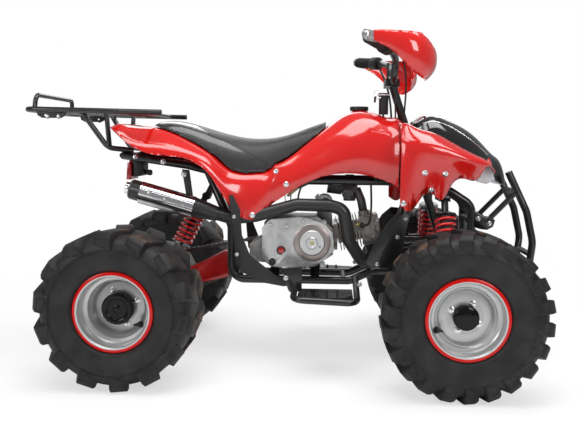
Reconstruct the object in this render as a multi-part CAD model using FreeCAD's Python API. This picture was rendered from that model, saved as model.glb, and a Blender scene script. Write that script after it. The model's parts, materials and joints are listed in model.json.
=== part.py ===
import FreeCAD, Part
import math
import os

# Small sport quad bike: steel tube frame, plastic bodywork, single-cylinder engine, chain drive.
# Places are worked out ahead of the rear axle (x), to the left (y) and above the floor (z), in mm.
# Each finished piece is then moved so that x is counted from the middle of the overall length.

V = FreeCAD.Vector
ORIGIN = V(0, 0, 0)
X, Y, Z = V(1, 0, 0), V(0, 1, 0), V(0, 0, 1)

# Overall sizes
wheelbase = 982.0
front_reach = wheelbase + 278.0
rear_reach = 345.0
seat_gap = 0.3
running_gap = 0.05
over = 2.0

# Frame tubes
frame_half_width = 75.0
frame_tube_r = 13.0
frame_bend_r = 45.0
brace_tube_r = 9.0
cradle_z = 266.0
front_rail_z = 300.0
top_rail_z = 588.0
rear_post_x = 288.0
rear_post_top_z = 439.0
subframe_x = 215.0
tail_bend_x, tail_bend_z = 152.0, 634.0
tail_x, tail_z = -58.0, 664.0
tail_half_width = 108.0
cradle_end_x = wheelbase - 309.0
front_rail_x = wheelbase - 237.0
front_post_x = wheelbase + 73.0
front_post_top_z = 515.0
front_top_x, front_top_z = wheelbase + 3.0, 560.0
down_tube_top_x = wheelbase - 102.0
down_tube_foot_x = wheelbase - 182.0
arm_rail_z = 385.0

# Wheels and tyres
rim_r = 116.0
bead_r = 102.0
rim_wall = 3.0
flange_t = 6.0
front_tyre_r = 233.5
front_tyre_w = 178.0
front_rim_out = 459.0
front_rim_w = 150.0
front_disc_in = 51.5
rear_tyre_r = 229.0
rear_tyre_w = 238.0
rear_rim_out = 433.0
rear_rim_w = 196.0
rear_disc_in = 85.0
lug_depth = 10.0
front_lugs, front_lug_w = 22, 25.0
rear_lugs, rear_lug_w = 14, 38.0
disc_t = 4.0
disc_hole_r = 31.0

# Front suspension and steering
kingpin_y = 320.0
kingpin_r = 6.0
barrel_r = 15.0
barrel_half = 26.0
arm_pivot_y = 108.0
arm_spread = 85.0
arm_tube_r = 10.0
arm_bush_r = 14.0
arm_bush_len = 30.0
arm_eye_len = 22.0
spindle_r = 8.0
front_hub_r = 30.0
front_hub_flange_r = 62.0
front_cap_r = 35.0
hub_flange_t = 7.0
tie_rod_r = 6.0
tie_ball_r = 10.0
pitman_len = 50.0
pitman_half = 14.0
tie_ball_half = 8.0
tie_pivot_r = 4.0
pitman_drop = 2.5
pitman_edge = 5.0
steer_arm_len = 54.0
steer_arm_y = kingpin_y - 4.0
pitman_ball_z = 368.0
clamp_x, clamp_z = wheelbase - 182.0, 905.0
stem_r = 13.0
shock_top_y, shock_top_z = 165.0, 545.0
shock_foot_y = 240.0
shock_x = wheelbase - 27.0
spring_r = 29.0
spring_wire_r = 4.6
spring_turns = 7
shock_body_r = 15.0
shock_rod_r = 6.0
eye_r = 12.0
eye_len = 24.0
pin_r = 5.0

# Rear suspension and drive
axle_r = 14.0
rear_hub_r = 28.0
rear_cap_r = 45.5
carrier_r = 34.0
carrier_half = 36.0
swing_pivot_x, swing_pivot_z = 300.0, 300.0
swing_half = 31.0
swing_pocket = 6.0
swing_pockets = [[(66, 256), (108, 270), (92, 226), (66, 218)], [(118, 273), (166, 290), (150, 244), (102, 230)],
                 [(176, 294), (244, 330), (236, 266), (160, 247)]]
rear_shock_top_x, rear_shock_top_z = 193.0, 531.0
rear_shock_foot_x, rear_shock_foot_z = 98.0, 349.0
sprocket_y = 53.0
sprocket_teeth, drive_teeth = 29, 11
sprocket_t = 6.0
brake_disc_y = -66.0
brake_disc_r = 85.0
chain_half_w = 7.0
chain_pitch = 15.875
chain_clear = 5.0
roller_r = 5.0
link_half_h = 6.4
drive_sprocket_x, drive_sprocket_z = 372.0, 352.0
sprocket_r = chain_pitch / (2 * math.sin(math.pi / sprocket_teeth))
drive_sprocket_r = chain_pitch / (2 * math.sin(math.pi / drive_teeth))

# Engine
engine_x0, engine_x1 = 396.0, 618.0
engine_z0, engine_z1 = 312.0, 474.0
engine_half_w = 92.0
engine_mount_xs, engine_mount_z, engine_mount_r = (430.0, 560.0), engine_z0 - 4.0, 9.0
engine_plate_t = 5.0
cover_out = 138.0
clutch_x, clutch_z, clutch_r = 551.0, 396.0, 60.0
cylinder_tilt = 12.0
cylinder_z = 408.0
fin_size = 104.0
fin_t = 3.0
fin_pitch = 9.5
fin_count = 8
head_len = 62.0
exhaust_r = 20.0
exhaust_y = -118.0
muffler_y = -130.0
muffler_r = 32.0

# Handlebar
bar_r = 11.0
bar_half_w = 339.0
grip_r = 16.0
grip_len = 118.0
guard_wall = 3.5
bracket_in = -344.6
bracket_t = 2.4
guard_bolts = [(700.0, 1006.0), (722.0, 1002.0)]
guard_bolt_r = 3.0

# Bodywork
panel_wall = 3.0
cap_x, cap_r, cap_t, cap_neck_r = 697.0, 30.0, 13.0, 22.0
rack_tube_r = 8.5
rack_half_w = 195.0
rack_rear_z, rack_front_z = 805.0, 797.0
rack_front_x = 90.0
rack_plate = [(-300, 805), (-200, 803), (-206, 786), (-220, 778), (-280, 778), (-294, 786)]
rack_plate_t = 4.0
rack_hole_xs = (-270.0, -230.0)
rack_hole_z = 787.0
rack_hole_r = 3.5
bumper_tube_r = 11.5
bumper_half_w = 80.0
peg_tooth = 12.0
key_x, key_y, key_r, key_top_z = 773.0, -40.0, 17.0, 868.0
lamp_ys = (-134.0, -127.0, -120.0, -113.0)
lamp_top_xs = (wheelbase + 74.0, wheelbase + 88.0, wheelbase + 102.0, wheelbase + 116.0)
lamp_glass = [(wheelbase + 130.0, 600.0), (wheelbase + 104.0, 586.0), (wheelbase + 78.0, 592.0)]

hub_front_z = front_tyre_r
hub_rear_z = rear_tyre_r
middle_x = (front_reach - rear_reach) / 2


def sub(a, b):
    return a.sub(b)


def unit(v):
    return v.multiply(1.0 / v.Length)


def rod(a, b, r):
    return Part.makeCylinder(r, sub(b, a).Length, a, sub(b, a))


def hollow_rod(a, b, r, bore):
    return rod(a, b, r).cut(rod(a, b, bore))


def bent_wire(points, bend_r):
    """Straight runs joined by tangent arcs."""
    edges = []
    start = points[0]
    for before, corner, after in zip(points, points[1:], points[2:]):
        back = unit(sub(before, corner))
        ahead = unit(sub(after, corner))
        turn = math.pi - back.getAngle(ahead)
        room = 0.48 * min(sub(before, corner).Length, sub(after, corner).Length)
        reach = min(bend_r * math.tan(turn / 2), room)
        if turn < math.radians(1):
            continue
        radius = reach / math.tan(turn / 2)
        a = corner + back * reach
        b = corner + ahead * reach
        centre = corner + unit(back + ahead) * (radius / math.cos(turn / 2))
        middle = centre + unit(sub(corner, centre)) * radius
        if sub(a, start).Length > seat_gap:
            edges.append(Part.LineSegment(start, a).toShape())
        edges.append(Part.Arc(a, middle, b).toShape())
        start = b
    edges.append(Part.LineSegment(start, points[-1]).toShape())
    return Part.Wire(edges)


def bent_tube(points, r, bend_r):
    path = bent_wire(points, bend_r)
    circle = Part.makeCircle(r, points[0], sub(points[1], points[0]))
    return path.makePipe(Part.Face(Part.Wire(circle)))


def fuse(solids):
    whole = solids[0]
    if len(solids) > 1:
        whole = whole.multiFuse(solids[1:]).removeSplitter()
    return whole


def fuse_in_turn(solids):
    """Union taken one solid at a time, which holds up better where many tubes meet."""
    whole = solids[0]
    for solid in solids[1:]:
        whole = whole.fuse(solid)
    return whole


def mirrored(shape):
    return shape.mirror(ORIGIN, Y)


def both_sides(solids):
    return solids + [mirrored(s) for s in solids]


def side_face(points, y=0.0):
    """Face in the side view from straight lines through (x, z) points."""
    corners = [V(x, y, z) for x, z in points]
    return Part.Face(Part.makePolygon(corners + corners[:1]))


def side_plate(points, y0, y1):
    return side_face(points, y0).extrude(V(0, y1 - y0, 0))


def top_plate(points, z0, z1):
    corners = [V(x, y, z0) for x, y in points]
    return Part.Face(Part.makePolygon(corners + corners[:1])).extrude(V(0, 0, z1 - z0))


def turned(profile, x, z, y=0.0):
    """Solid turned about a line along Y from (radius, y) points."""
    corners = [V(r, across, 0) for r, across in profile]
    solid = Part.Face(Part.makePolygon(corners + corners[:1])).revolve(ORIGIN, Y, 360)
    solid.translate(V(x, y, z))
    return solid


def pole_curve(points):
    """Cubic curve drawn towards its control points."""
    degree = min(3, len(points) - 1)
    inner = len(points) - degree - 1
    curve = Part.BSplineCurve()
    counts = [degree + 1] + [1] * inner + [degree + 1]
    curve.buildFromPolesMultsKnots(points, counts, list(range(inner + 2)), False, degree)
    return curve.toShape()


def skin_poles(x, half, inset):
    """Control points of a panel's surface across the vehicle, sunk below its outer face by an inset."""
    outer = [(-y, z) for y, z in reversed(half[1:])] + list(half)
    poles = []
    for i, (y, z) in enumerate(outer):
        before, after = outer[max(i - 1, 0)], outer[min(i + 1, len(outer) - 1)]
        dy, dz = after[0] - before[0], after[1] - before[1]
        step = inset / math.hypot(dy, dz)
        poles.append(V(x, y + dz * step, z - dy * step))
    return poles


def below_panel(stations, inset, rise):
    """Everything under a panel's surface, raised a little: used to seat other pieces on or under it."""
    wires = []
    for x, half in stations:
        poles = [p + Z * rise for p in skin_poles(x, half, inset)]
        foot = [V(x, poles[-1].y, 0), V(x, poles[0].y, 0)]
        corners = [poles[-1]] + foot + [poles[0]]
        sides = [Part.LineSegment(a, b).toShape() for a, b in zip(corners, corners[1:])]
        wires.append(Part.Wire([pole_curve(poles)] + sides))
    return Part.makeLoft(wires, True, False)


def shell_section(x, half, wall):
    """Closed band across the vehicle from (y, z) control points, middle first, and its thickness."""
    inner = skin_poles(x, half, wall)
    outer = skin_poles(x, half, 0)
    sides = [Part.LineSegment(outer[-1], inner[-1]).toShape(), Part.LineSegment(inner[0], outer[0]).toShape()]
    return Part.Wire([pole_curve(outer), sides[0], pole_curve(inner[::-1]), sides[1]])


def shell_loft(stations, wall):
    return Part.makeLoft([shell_section(x, half, wall) for x, half in stations], True, False)


def solid_section(x, half):
    """Closed section across the vehicle: control points from the middle of the top down to the side."""
    top = [V(x, -y, z) for y, z in reversed(half[1:])] + [V(x, y, z) for y, z in half]
    return Part.Wire([pole_curve(top), Part.LineSegment(top[-1], top[0]).toShape()])


def solid_loft(stations):
    return Part.makeLoft([solid_section(x, half) for x, half in stations], True, False)


# Tyres
def tyre_carcass(outer_r, half_w, rim_half, sides):
    """Polygonal tyre body about the Y axis, with its beads between the rim's flanges."""
    crown = outer_r - lug_depth
    seat_half = rim_half - flange_t - seat_gap
    bore = (bead_r + seat_gap) / math.cos(math.pi / sides)
    lip = (rim_r + seat_gap) / math.cos(math.pi / sides)
    height = crown - lip
    half = [
        (bore, seat_half),
        (lip, seat_half),
        (lip + 0.55 * height, half_w),
        (crown, 0.70 * half_w),
    ]
    profile = half + [(r, -y) for r, y in reversed(half)]
    angles = [2 * math.pi * (i + 0.5) / sides for i in range(sides)]
    rings = [[V(r * math.cos(a), y, r * math.sin(a)) for a in angles] for r, y in profile]
    faces = []
    for ring, after in zip(rings, rings[1:] + rings[:1]):
        for i in range(sides):
            j = (i + 1) % sides
            corners = [ring[i], ring[j], after[j], after[i]]
            faces.append(Part.Face(Part.makePolygon(corners + corners[:1])))
    solid = Part.Solid(Part.Shell(faces))
    return solid if solid.Volume > 0 else solid.reversed()


def tyre_lug(outer_r, half_w, width, slant):
    """One block at the top of the tyre, from near the middle of the tread down over the shoulder (+Y)."""
    root = outer_r - 2.0 * lug_depth
    profile = [
        (0.06 * half_w, root),
        (0.06 * half_w, outer_r),
        (0.84 * half_w, outer_r),
        (half_w + 0.35 * lug_depth, outer_r - 1.4 * lug_depth),
        (0.90 * half_w, outer_r - 5.0 * lug_depth),
    ]
    corners = [V(-width / 2, y, z) for y, z in profile]
    block = Part.Face(Part.makePolygon(corners + corners[:1])).extrude(V(width, 0, 0))
    block.rotate(V(0, 0.40 * half_w, 0), Z, slant)
    return block


def tyre(outer_r, width, rim_w, lugs, lug_w, slant):
    """Whole tyre about the Y axis; both rows of blocks start at the bottom, slanted as a V."""
    half_w = width / 2 - 0.35 * lug_depth
    body = tyre_carcass(outer_r, half_w, rim_w / 2, lugs)
    body.rotate(ORIGIN, Y, 90)
    pitch = 360.0 / lugs
    blocks = []
    for i in range(lugs):
        for block in both_sides([tyre_lug(outer_r, half_w, lug_w, slant)]):
            block.rotate(ORIGIN, Y, 180 + i * pitch)
            blocks.append(block)
    return body.multiFuse(blocks).removeSplitter()


def rim_profile(rim_w, disc_in, hub_hole_r):
    """Half section of a pressed rim from its outer lip, (radius, y), lip at y = 0 and inboard positive."""
    barrel = bead_r
    waist = barrel - 0.16 * barrel
    step_r = 0.76 * barrel
    face = disc_in
    return [
        (barrel + 1.0, 0), (rim_r, 0.4 * flange_t), (rim_r, flange_t), (barrel, flange_t),
        (barrel, 0.24 * rim_w), (waist, 0.32 * rim_w), (waist, 0.70 * rim_w), (barrel, 0.78 * rim_w),
        (barrel, rim_w - flange_t), (rim_r, rim_w - flange_t), (rim_r, rim_w), (barrel - rim_wall, rim_w),
        (barrel - rim_wall, 0.80 * rim_w), (waist - rim_wall, 0.72 * rim_w),
        (waist - rim_wall, face + 3 * disc_t), (step_r, face + disc_t), (hub_hole_r, face + disc_t),
        (hub_hole_r, face), (step_r - disc_t, face), (waist - rim_wall - disc_t, face - 2 * disc_t),
        (waist - rim_wall, 0.30 * rim_w - disc_t), (barrel - rim_wall, 0.22 * rim_w),
        (barrel - rim_wall, flange_t),
    ]


def rim(rim_w, rim_out, disc_in, axle_x, axle_z):
    """Right-hand rim: its lip faces -Y."""
    profile = [(r, y - rim_out) for r, y in rim_profile(rim_w, disc_in, disc_hole_r)]
    return turned(profile, axle_x, axle_z)


def front_wheel_pieces():
    """Right-hand front tyre, rim and hub."""
    tyre_mid = front_rim_out - front_rim_w / 2
    body = tyre(front_tyre_r, front_tyre_w, front_rim_w, front_lugs, front_lug_w, 16)
    body.translate(V(wheelbase, -tyre_mid, hub_front_z))
    wheel = rim(front_rim_w, front_rim_out, front_disc_in, wheelbase, hub_front_z)
    disc_y = front_rim_out - front_disc_in - disc_t
    hub_in = kingpin_y + barrel_r + 8.0
    bore = spindle_r + running_gap
    cap_out = disc_y + disc_t + 24.0
    back = disc_y - seat_gap
    neck = disc_hole_r - seat_gap
    hub = turned([
        (bore, -hub_in), (front_hub_r, -hub_in), (front_hub_r, hub_flange_t - back),
        (front_hub_flange_r, hub_flange_t - back), (front_hub_flange_r, -back), (neck, -back),
        (neck, -disc_y - disc_t - seat_gap), (front_cap_r, -disc_y - disc_t - seat_gap),
        (front_cap_r, -cap_out + 5), (front_cap_r - 8, -cap_out), (0, -cap_out), (0, -cap_out + 10),
        (bore, -cap_out + 10)], wheelbase, hub_front_z)
    return body, wheel, hub, cap_out


def knuckle(cap_out):
    """Right-hand knuckle: kingpin barrel, spindle and steering arm."""
    hub = V(wheelbase, -kingpin_y, hub_front_z)
    pin_half = barrel_half + arm_eye_len + 6.0
    pin = rod(hub - Z * pin_half, hub + Z * pin_half, kingpin_r)
    barrel = rod(hub - Z * barrel_half, hub + Z * barrel_half, barrel_r)
    tip = V(wheelbase, -(cap_out - 14.0), hub_front_z)
    spindle = rod(hub, tip, spindle_r)
    boss = rod(hub, hub - Y * (barrel_r + 6.0), barrel_r)
    ball = steer_ball()
    plate_t = 4.0
    arm = top_plate([
        (wheelbase, -kingpin_y - barrel_r + plate_t), (wheelbase, -kingpin_y + barrel_r - plate_t),
        (ball.x, ball.y + tie_ball_r), (ball.x - tie_ball_r, ball.y), (ball.x, ball.y - tie_ball_r)],
        hub_front_z - plate_t, hub_front_z - seat_gap)
    nuts = [rod(hub + Z * s * (pin_half - 2.0), hub + Z * s * (pin_half + 5.0), 1.8 * kingpin_r) for s in (-1, 1)]
    return fuse([pin, barrel, spindle, boss, arm] + nuts)


def stem_axis():
    """Foot of the steering stem's line, level with the pitman arm, and its upward direction."""
    ball_x = wheelbase - steer_arm_len
    tilt = math.radians(15)
    for _ in range(8):
        foot = V(ball_x + pitman_len * math.cos(tilt), 0, pitman_ball_z + pitman_len * math.sin(tilt))
        tilt = math.atan2(foot.x - clamp_x, clamp_z - foot.z)
    return foot, V(-math.sin(tilt), 0, math.cos(tilt))


def stem_point(z):
    foot, up = stem_axis()
    return foot + up * ((z - foot.z) / up.z)


def pitman_ball():
    """Right-hand tie rod's inner ball."""
    return V(wheelbase - steer_arm_len, -pitman_half, pitman_ball_z)


def steer_ball():
    """Right-hand tie rod's outer ball, above the steering arm."""
    return V(wheelbase - steer_arm_len, -steer_arm_y, hub_front_z + tie_ball_r)


def arm_pair():
    """Right-hand upper and lower A-arms."""
    arms = []
    for pivot_z, side in ((arm_rail_z, 1), (front_rail_z, -1)):
        low = hub_front_z + side * (barrel_half + seat_gap)
        high = low + side * arm_eye_len
        eye_mid = (low + high) / 2
        eye_a = V(wheelbase, -kingpin_y, min(low, high))
        eye_b = V(wheelbase, -kingpin_y, max(low, high))
        solids = [rod(eye_a, eye_b, barrel_r)]
        for end in (-1, 1):
            bush = V(wheelbase + end * arm_spread, -arm_pivot_y, pivot_z)
            solids.append(rod(bush - X * (arm_bush_len / 2), bush + X * (arm_bush_len / 2), arm_bush_r))
            eye = V(wheelbase + end * 0.4 * barrel_r, -kingpin_y + 0.5 * barrel_r, eye_mid)
            solids.append(rod(bush, eye, arm_tube_r))
        if side > 0:
            share = (kingpin_y - shock_foot_y) / (kingpin_y - arm_pivot_y)
            z = eye_mid + share * (pivot_z - eye_mid)
            plate = Part.makeBox(arm_spread, 3 * eye_r, 5.0,
                                 V(wheelbase - 0.62 * arm_spread, -shock_foot_y - 1.5 * eye_r, z + 0.5 * arm_tube_r))
            solids.append(plate)
        arm = fuse(solids)
        arm = arm.cut(rod(eye_a - Z * over, eye_b + Z * over, kingpin_r + running_gap))
        hub = V(wheelbase, -kingpin_y, hub_front_z)
        arm = arm.cut(rod(hub - Z * (barrel_half + seat_gap), hub + Z * (barrel_half + seat_gap), barrel_r + 5.0))
        for end in (-1, 1):
            bush = V(wheelbase + end * arm_spread, -arm_pivot_y, pivot_z)
            half = X * (arm_bush_len / 2 + over)
            arm = arm.cut(rod(bush - half, bush + half, pin_r + seat_gap))
        arms.append(arm)
    return arms


def shock_foot():
    side_drop = (kingpin_y - shock_foot_y) / (kingpin_y - arm_pivot_y)
    eye_mid = hub_front_z + barrel_half + seat_gap + arm_eye_len / 2
    z = eye_mid + side_drop * (arm_rail_z - eye_mid) + 0.5 * arm_tube_r + 5.0
    return V(shock_x, -shock_foot_y, z + eye_r + over)


def coil(a, b, mean_r, wire_r, turns, per_turn=14, around=6):
    """Faceted coil spring from a to b; the wire has a few flat sides."""
    axis = unit(sub(b, a))
    side = unit(axis.cross(X if abs(axis.x) < 0.9 else Y))
    other = axis.cross(side)
    length = sub(b, a).Length - 2 * wire_r
    count = int(turns * per_turn)
    rings = []
    for i in range(count + 1):
        angle = 2 * math.pi * i / per_turn
        out = side * math.cos(angle) + other * math.sin(angle)
        centre = a + axis * (wire_r + length * i / count) + out * mean_r
        rings.append([centre + out * (wire_r * math.cos(2 * math.pi * k / around))
                      + axis * (wire_r * math.sin(2 * math.pi * k / around)) for k in range(around)])
    faces = []
    for ring, after in zip(rings, rings[1:]):
        for k in range(around):
            m = (k + 1) % around
            for corners in ([ring[k], ring[m], after[m]], [ring[k], after[m], after[k]]):
                faces.append(Part.Face(Part.makePolygon(corners + corners[:1])))
    for ring in (rings[0], rings[-1]):
        faces.append(Part.Face(Part.makePolygon(ring + ring[:1])))
    solid = Part.Solid(Part.Shell(faces))
    return solid if solid.Volume > 0 else solid.reversed()


def shock(top, foot, across):
    """Damper with an eye at each end, spring seats, and the coil between them."""
    up = unit(sub(top, foot))
    length = sub(top, foot).Length
    eyes = [hollow_rod(p - across * (eye_len / 2), p + across * (eye_len / 2), eye_r, pin_r + seat_gap)
            for p in (top, foot)]
    seat_low = foot + up * (0.10 * length)
    seat_high = foot + up * (0.74 * length)
    body = [
        rod(foot + up * (eye_r - 1.0), seat_low + up * 4.0, shock_rod_r + 3.0),
        rod(seat_low, seat_low + up * 4.0, spring_r + spring_wire_r),
        rod(seat_low, seat_high, shock_rod_r),
        rod(foot + up * (0.40 * length), seat_high, shock_body_r),
        rod(seat_high, seat_high + up * 4.0, spring_r + spring_wire_r),
        rod(seat_high, top - up * (eye_r - 1.0), 0.9 * eye_r),
    ]
    damper = fuse(body + eyes)
    spring = coil(seat_low + up * (4.0 + seat_gap), seat_high - up * seat_gap, spring_r, spring_wire_r, spring_turns)
    return damper, spring


def main_frame():
    h, r, bend = frame_half_width, frame_tube_r, frame_bend_r
    side = [
        bent_tube([tail_point(subframe_x), V(rear_post_x, -h, rear_post_top_z), V(rear_post_x, -h, cradle_z),
                   V(cradle_end_x, -h, cradle_z), V(front_rail_x, -h, front_rail_z), V(front_post_x, -h, front_rail_z),
                   V(front_post_x, -h, front_post_top_z), V(front_top_x, -h, front_top_z),
                   V(down_tube_top_x, -h, top_rail_z), V(rear_post_x + 12.0, -h, top_rail_z)], r, bend),
        bent_tube([V(tail_x, -tail_half_width, tail_z), V(tail_bend_x, -tail_half_width, tail_bend_z),
                   V(rear_post_x + bend, -h, top_rail_z)], r - 1.0, bend),
        rod(V(down_tube_top_x, -h, top_rail_z), V(down_tube_foot_x, -h, front_rail_z), r),
        rod(V(down_tube_foot_x, -h, arm_rail_z), V(front_post_x, -h, arm_rail_z), brace_tube_r),
    ]
    solids = both_sides(side)
    cross = [
        (rear_post_x + 60.0, cradle_z), (rear_post_x, rear_post_top_z - 40.0),
        (cradle_end_x - 20.0, cradle_z), (front_post_x, front_rail_z + 50.0), (front_post_x, front_post_top_z - bend),
        (down_tube_foot_x + 20.0, front_rail_z), (down_tube_top_x - 30.0, top_rail_z),
    ]
    for x, z in cross:
        solids.append(rod(V(x, -h, z), V(x, h, z), brace_tube_r))
    for x in (tail_bend_x - 30.0, rear_shock_top_x + 44.0):
        end = tail_point(x)
        solids.append(rod(end, V(end.x, -end.y, end.z), brace_tube_r))
    solids.append(rod(V(tail_x, -tail_half_width, tail_z), V(tail_x, tail_half_width, tail_z), brace_tube_r))
    solids += pivot_brackets() + stem_brackets() + shock_brackets()
    frame = fuse_in_turn(solids)
    return frame.cut(rod(stem_point(front_rail_z - 40.0), stem_point(clamp_z), stem_r + running_gap))


def tail_point(x):
    """Place on the right tail tube's line."""
    if x < tail_bend_x:
        share = (x - tail_x) / (tail_bend_x - tail_x)
        return V(x, -tail_half_width, tail_z + share * (tail_bend_z - tail_z))
    share = (x - tail_bend_x) / (rear_post_x + frame_bend_r - tail_bend_x)
    return V(x, -tail_half_width + share * (tail_half_width - frame_half_width),
             tail_bend_z + share * (top_rail_z - tail_bend_z))


def pivot_brackets():
    """Ears that hold the A-arm bushes, the swingarm pivot's plates and the engine's hangers."""
    ears = []
    ear_t = 3.0
    for z in (arm_rail_z, front_rail_z):
        for end in (-1, 1):
            for s in (-1, 1):
                x = wheelbase + end * arm_spread + s * (arm_bush_len / 2 + seat_gap + ear_t / 2)
                box = Part.makeBox(ear_t, arm_pivot_y + 8.0 - frame_half_width, 2 * arm_bush_r,
                                   V(x - ear_t / 2, -arm_pivot_y - 8.0, z - arm_bush_r))
                ears.append(box)
            x = wheelbase + end * arm_spread
            half = X * (arm_bush_len / 2 + seat_gap + ear_t)
            ears.append(rod(V(x, -arm_pivot_y, z) - half, V(x, -arm_pivot_y, z) + half, pin_r))
    plate = side_plate([(rear_post_x - 12, swing_pivot_z - 24), (swing_pivot_x + 26, swing_pivot_z - 24),
                        (swing_pivot_x + 26, swing_pivot_z + 24), (rear_post_x - 12, swing_pivot_z + 24)],
                       -frame_half_width + 8, -frame_half_width + 13)
    inner = -frame_half_width + frame_tube_r
    for x in engine_mount_xs:
        half = 1.6 * engine_mount_r
        top = engine_z0 - seat_gap
        ears.append(side_plate([(x - half, cradle_z), (x + half, cradle_z), (x + half, top), (x - half, top)],
                               inner - engine_plate_t, inner))
    return both_sides(ears + [plate]) + [
        rod(V(swing_pivot_x, -frame_half_width, swing_pivot_z), V(swing_pivot_x, frame_half_width, swing_pivot_z),
            1.4 * pin_r)]


def stem_brackets():
    """Collars that the steering stem turns in, and what holds them."""
    high = stem_point(0.5 * (top_rail_z + clamp_z) - 50.0)
    foot, up = stem_axis()
    low = stem_point(front_rail_z + 4.0)
    collar_r = stem_r + 9.0
    solids = [rod(high - up * 14.0, high + up * 14.0, collar_r), rod(low, low + up * 12.0, collar_r)]
    for s in (-1, 1):
        solids.append(rod(V(down_tube_top_x - 60.0, s * frame_half_width, top_rail_z),
                          high + Y * (s * (collar_r - 5.0)), brace_tube_r))
    cross_x = (low + up * 6.0).x
    solids.append(rod(V(cross_x, -frame_half_width, front_rail_z), V(cross_x, frame_half_width, front_rail_z),
                      brace_tube_r))
    return solids


def shock_brackets():
    """Ears and pins at the tops of the dampers."""
    ear_t = 4.0
    solids = []
    for s in (-1, 1):
        x = shock_x + s * (eye_len / 2 + seat_gap + ear_t / 2)
        corners = [V(x - ear_t / 2, -frame_half_width, front_top_z - 4.0), V(x - ear_t / 2, -frame_half_width, front_top_z - 26.0),
                   V(x - ear_t / 2, -shock_top_y - eye_r, shock_top_z - eye_r),
                   V(x - ear_t / 2, -shock_top_y - eye_r, shock_top_z + eye_r)]
        solids.append(Part.Face(Part.makePolygon(corners + corners[:1])).extrude(X * ear_t))
    half = X * (eye_len / 2 + seat_gap + ear_t)
    top = V(shock_x, -shock_top_y, shock_top_z)
    solids.append(rod(top - half, top + half, pin_r))
    solids = both_sides(solids)
    top = V(rear_shock_top_x, 0, rear_shock_top_z)
    cross_z = tail_point(rear_shock_top_x + 44.0).z
    for s in (-1, 1):
        y = s * (eye_len / 2 + seat_gap + ear_t / 2)
        solids.append(side_plate([(top.x - eye_r, top.z - eye_r), (top.x + eye_r, top.z - eye_r),
                                  (top.x + 4.2 * eye_r, cross_z), (top.x + 3.0 * eye_r, cross_z)],
                                 y - ear_t / 2, y + ear_t / 2))
    half = Y * (eye_len / 2 + seat_gap + ear_t)
    solids.append(rod(top - half, top + half, pin_r))
    return solids


def swingarm():
    axle = V(0, 0, hub_rear_z)
    outline = [
        (axle.x + 20, axle.z + 30), (60, 265), (169, 302), (258, 350), (swing_pivot_x - 22, 350),
        (swing_pivot_x + 8, swing_pivot_z + 16), (swing_pivot_x + 8, swing_pivot_z - 16), (262, 262),
        (258, 260), (150, 236), (60, 206), (axle.x + 20, axle.z - 30)]
    beam = side_plate(outline, -swing_half, swing_half)
    beam = beam.cut(rod(axle - Y * 60, axle + Y * 60, carrier_r + seat_gap))
    for pocket in swing_pockets:
        for y in (-swing_half - over, swing_half - swing_pocket):
            beam = beam.cut(side_plate(pocket, y, y + swing_pocket + over))
    pivot_half = sprocket_y - chain_half_w - 6.0
    pivot = V(swing_pivot_x, 0, swing_pivot_z)
    tube = rod(pivot - Y * pivot_half, pivot + Y * pivot_half, 17.0)
    foot = V(rear_shock_foot_x, 0, rear_shock_foot_z)
    ears = []
    ear_t = 4.0
    for s in (-1, 1):
        y = s * (eye_len / 2 + seat_gap + ear_t / 2)
        ears.append(side_plate([(foot.x - eye_r, foot.z + eye_r), (foot.x + eye_r, foot.z + eye_r),
                                (foot.x + 3.6 * eye_r, 270), (foot.x - 2 * eye_r, 255)], y - ear_t / 2, y + ear_t / 2))
    half = Y * (eye_len / 2 + seat_gap + ear_t)
    ears.append(rod(foot - half, foot + half, pin_r))
    arm = fuse([beam, tube] + ears)
    return arm.cut(rod(pivot - Y * 80, pivot + Y * 80, 1.4 * pin_r + seat_gap))


def axle_carrier():
    axle = V(0, 0, hub_rear_z)
    housing = rod(axle - Y * carrier_half, axle + Y * carrier_half, carrier_r)
    caliper_y = brake_disc_y - 16.0
    caliper = side_plate([(30, hub_rear_z + 40), (82, hub_rear_z + 40), (82, hub_rear_z + 82), (30, hub_rear_z + 82)],
                         caliper_y, 4.0 - carrier_half)
    slot = rod(axle + Y * (brake_disc_y - 8.0), axle + Y * (brake_disc_y + 8.0), brake_disc_r + 6.0)
    rest = turned([(0, -carrier_half), (brake_disc_r + 12, -carrier_half), (brake_disc_r + 12, -carrier_half + 4),
                   (0, -carrier_half + 4)], 0, hub_rear_z)
    keep = side_plate([(0, hub_rear_z), (82, hub_rear_z + 40), (82, hub_rear_z + 82), (20, hub_rear_z + 82)],
                      -carrier_half, -carrier_half + 4)
    carrier = fuse([housing, rest.common(keep), caliper.cut(slot)])
    return carrier.cut(rod(axle - Y * 80, axle + Y * 80, axle_r + running_gap))


def rear_axle():
    axle = V(0, 0, hub_rear_z)
    disc_y = rear_rim_out - rear_disc_in - disc_t
    back = disc_y - seat_gap
    neck = disc_hole_r - seat_gap
    cap_out = disc_y + disc_t + 34.0
    half = turned([
        (0, 0), (axle_r, 0), (axle_r, -back + 96), (rear_hub_r, -back + 90), (rear_hub_r, -back + hub_flange_t),
        (front_hub_flange_r, -back + hub_flange_t), (front_hub_flange_r, -back), (neck, -back),
        (neck, -disc_y - disc_t - seat_gap), (rear_cap_r, -disc_y - disc_t - seat_gap), (rear_cap_r, -cap_out + 5),
        (rear_cap_r - 7, -cap_out), (0, -cap_out)], 0, hub_rear_z)
    return fuse([half, mirrored(half)])


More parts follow.
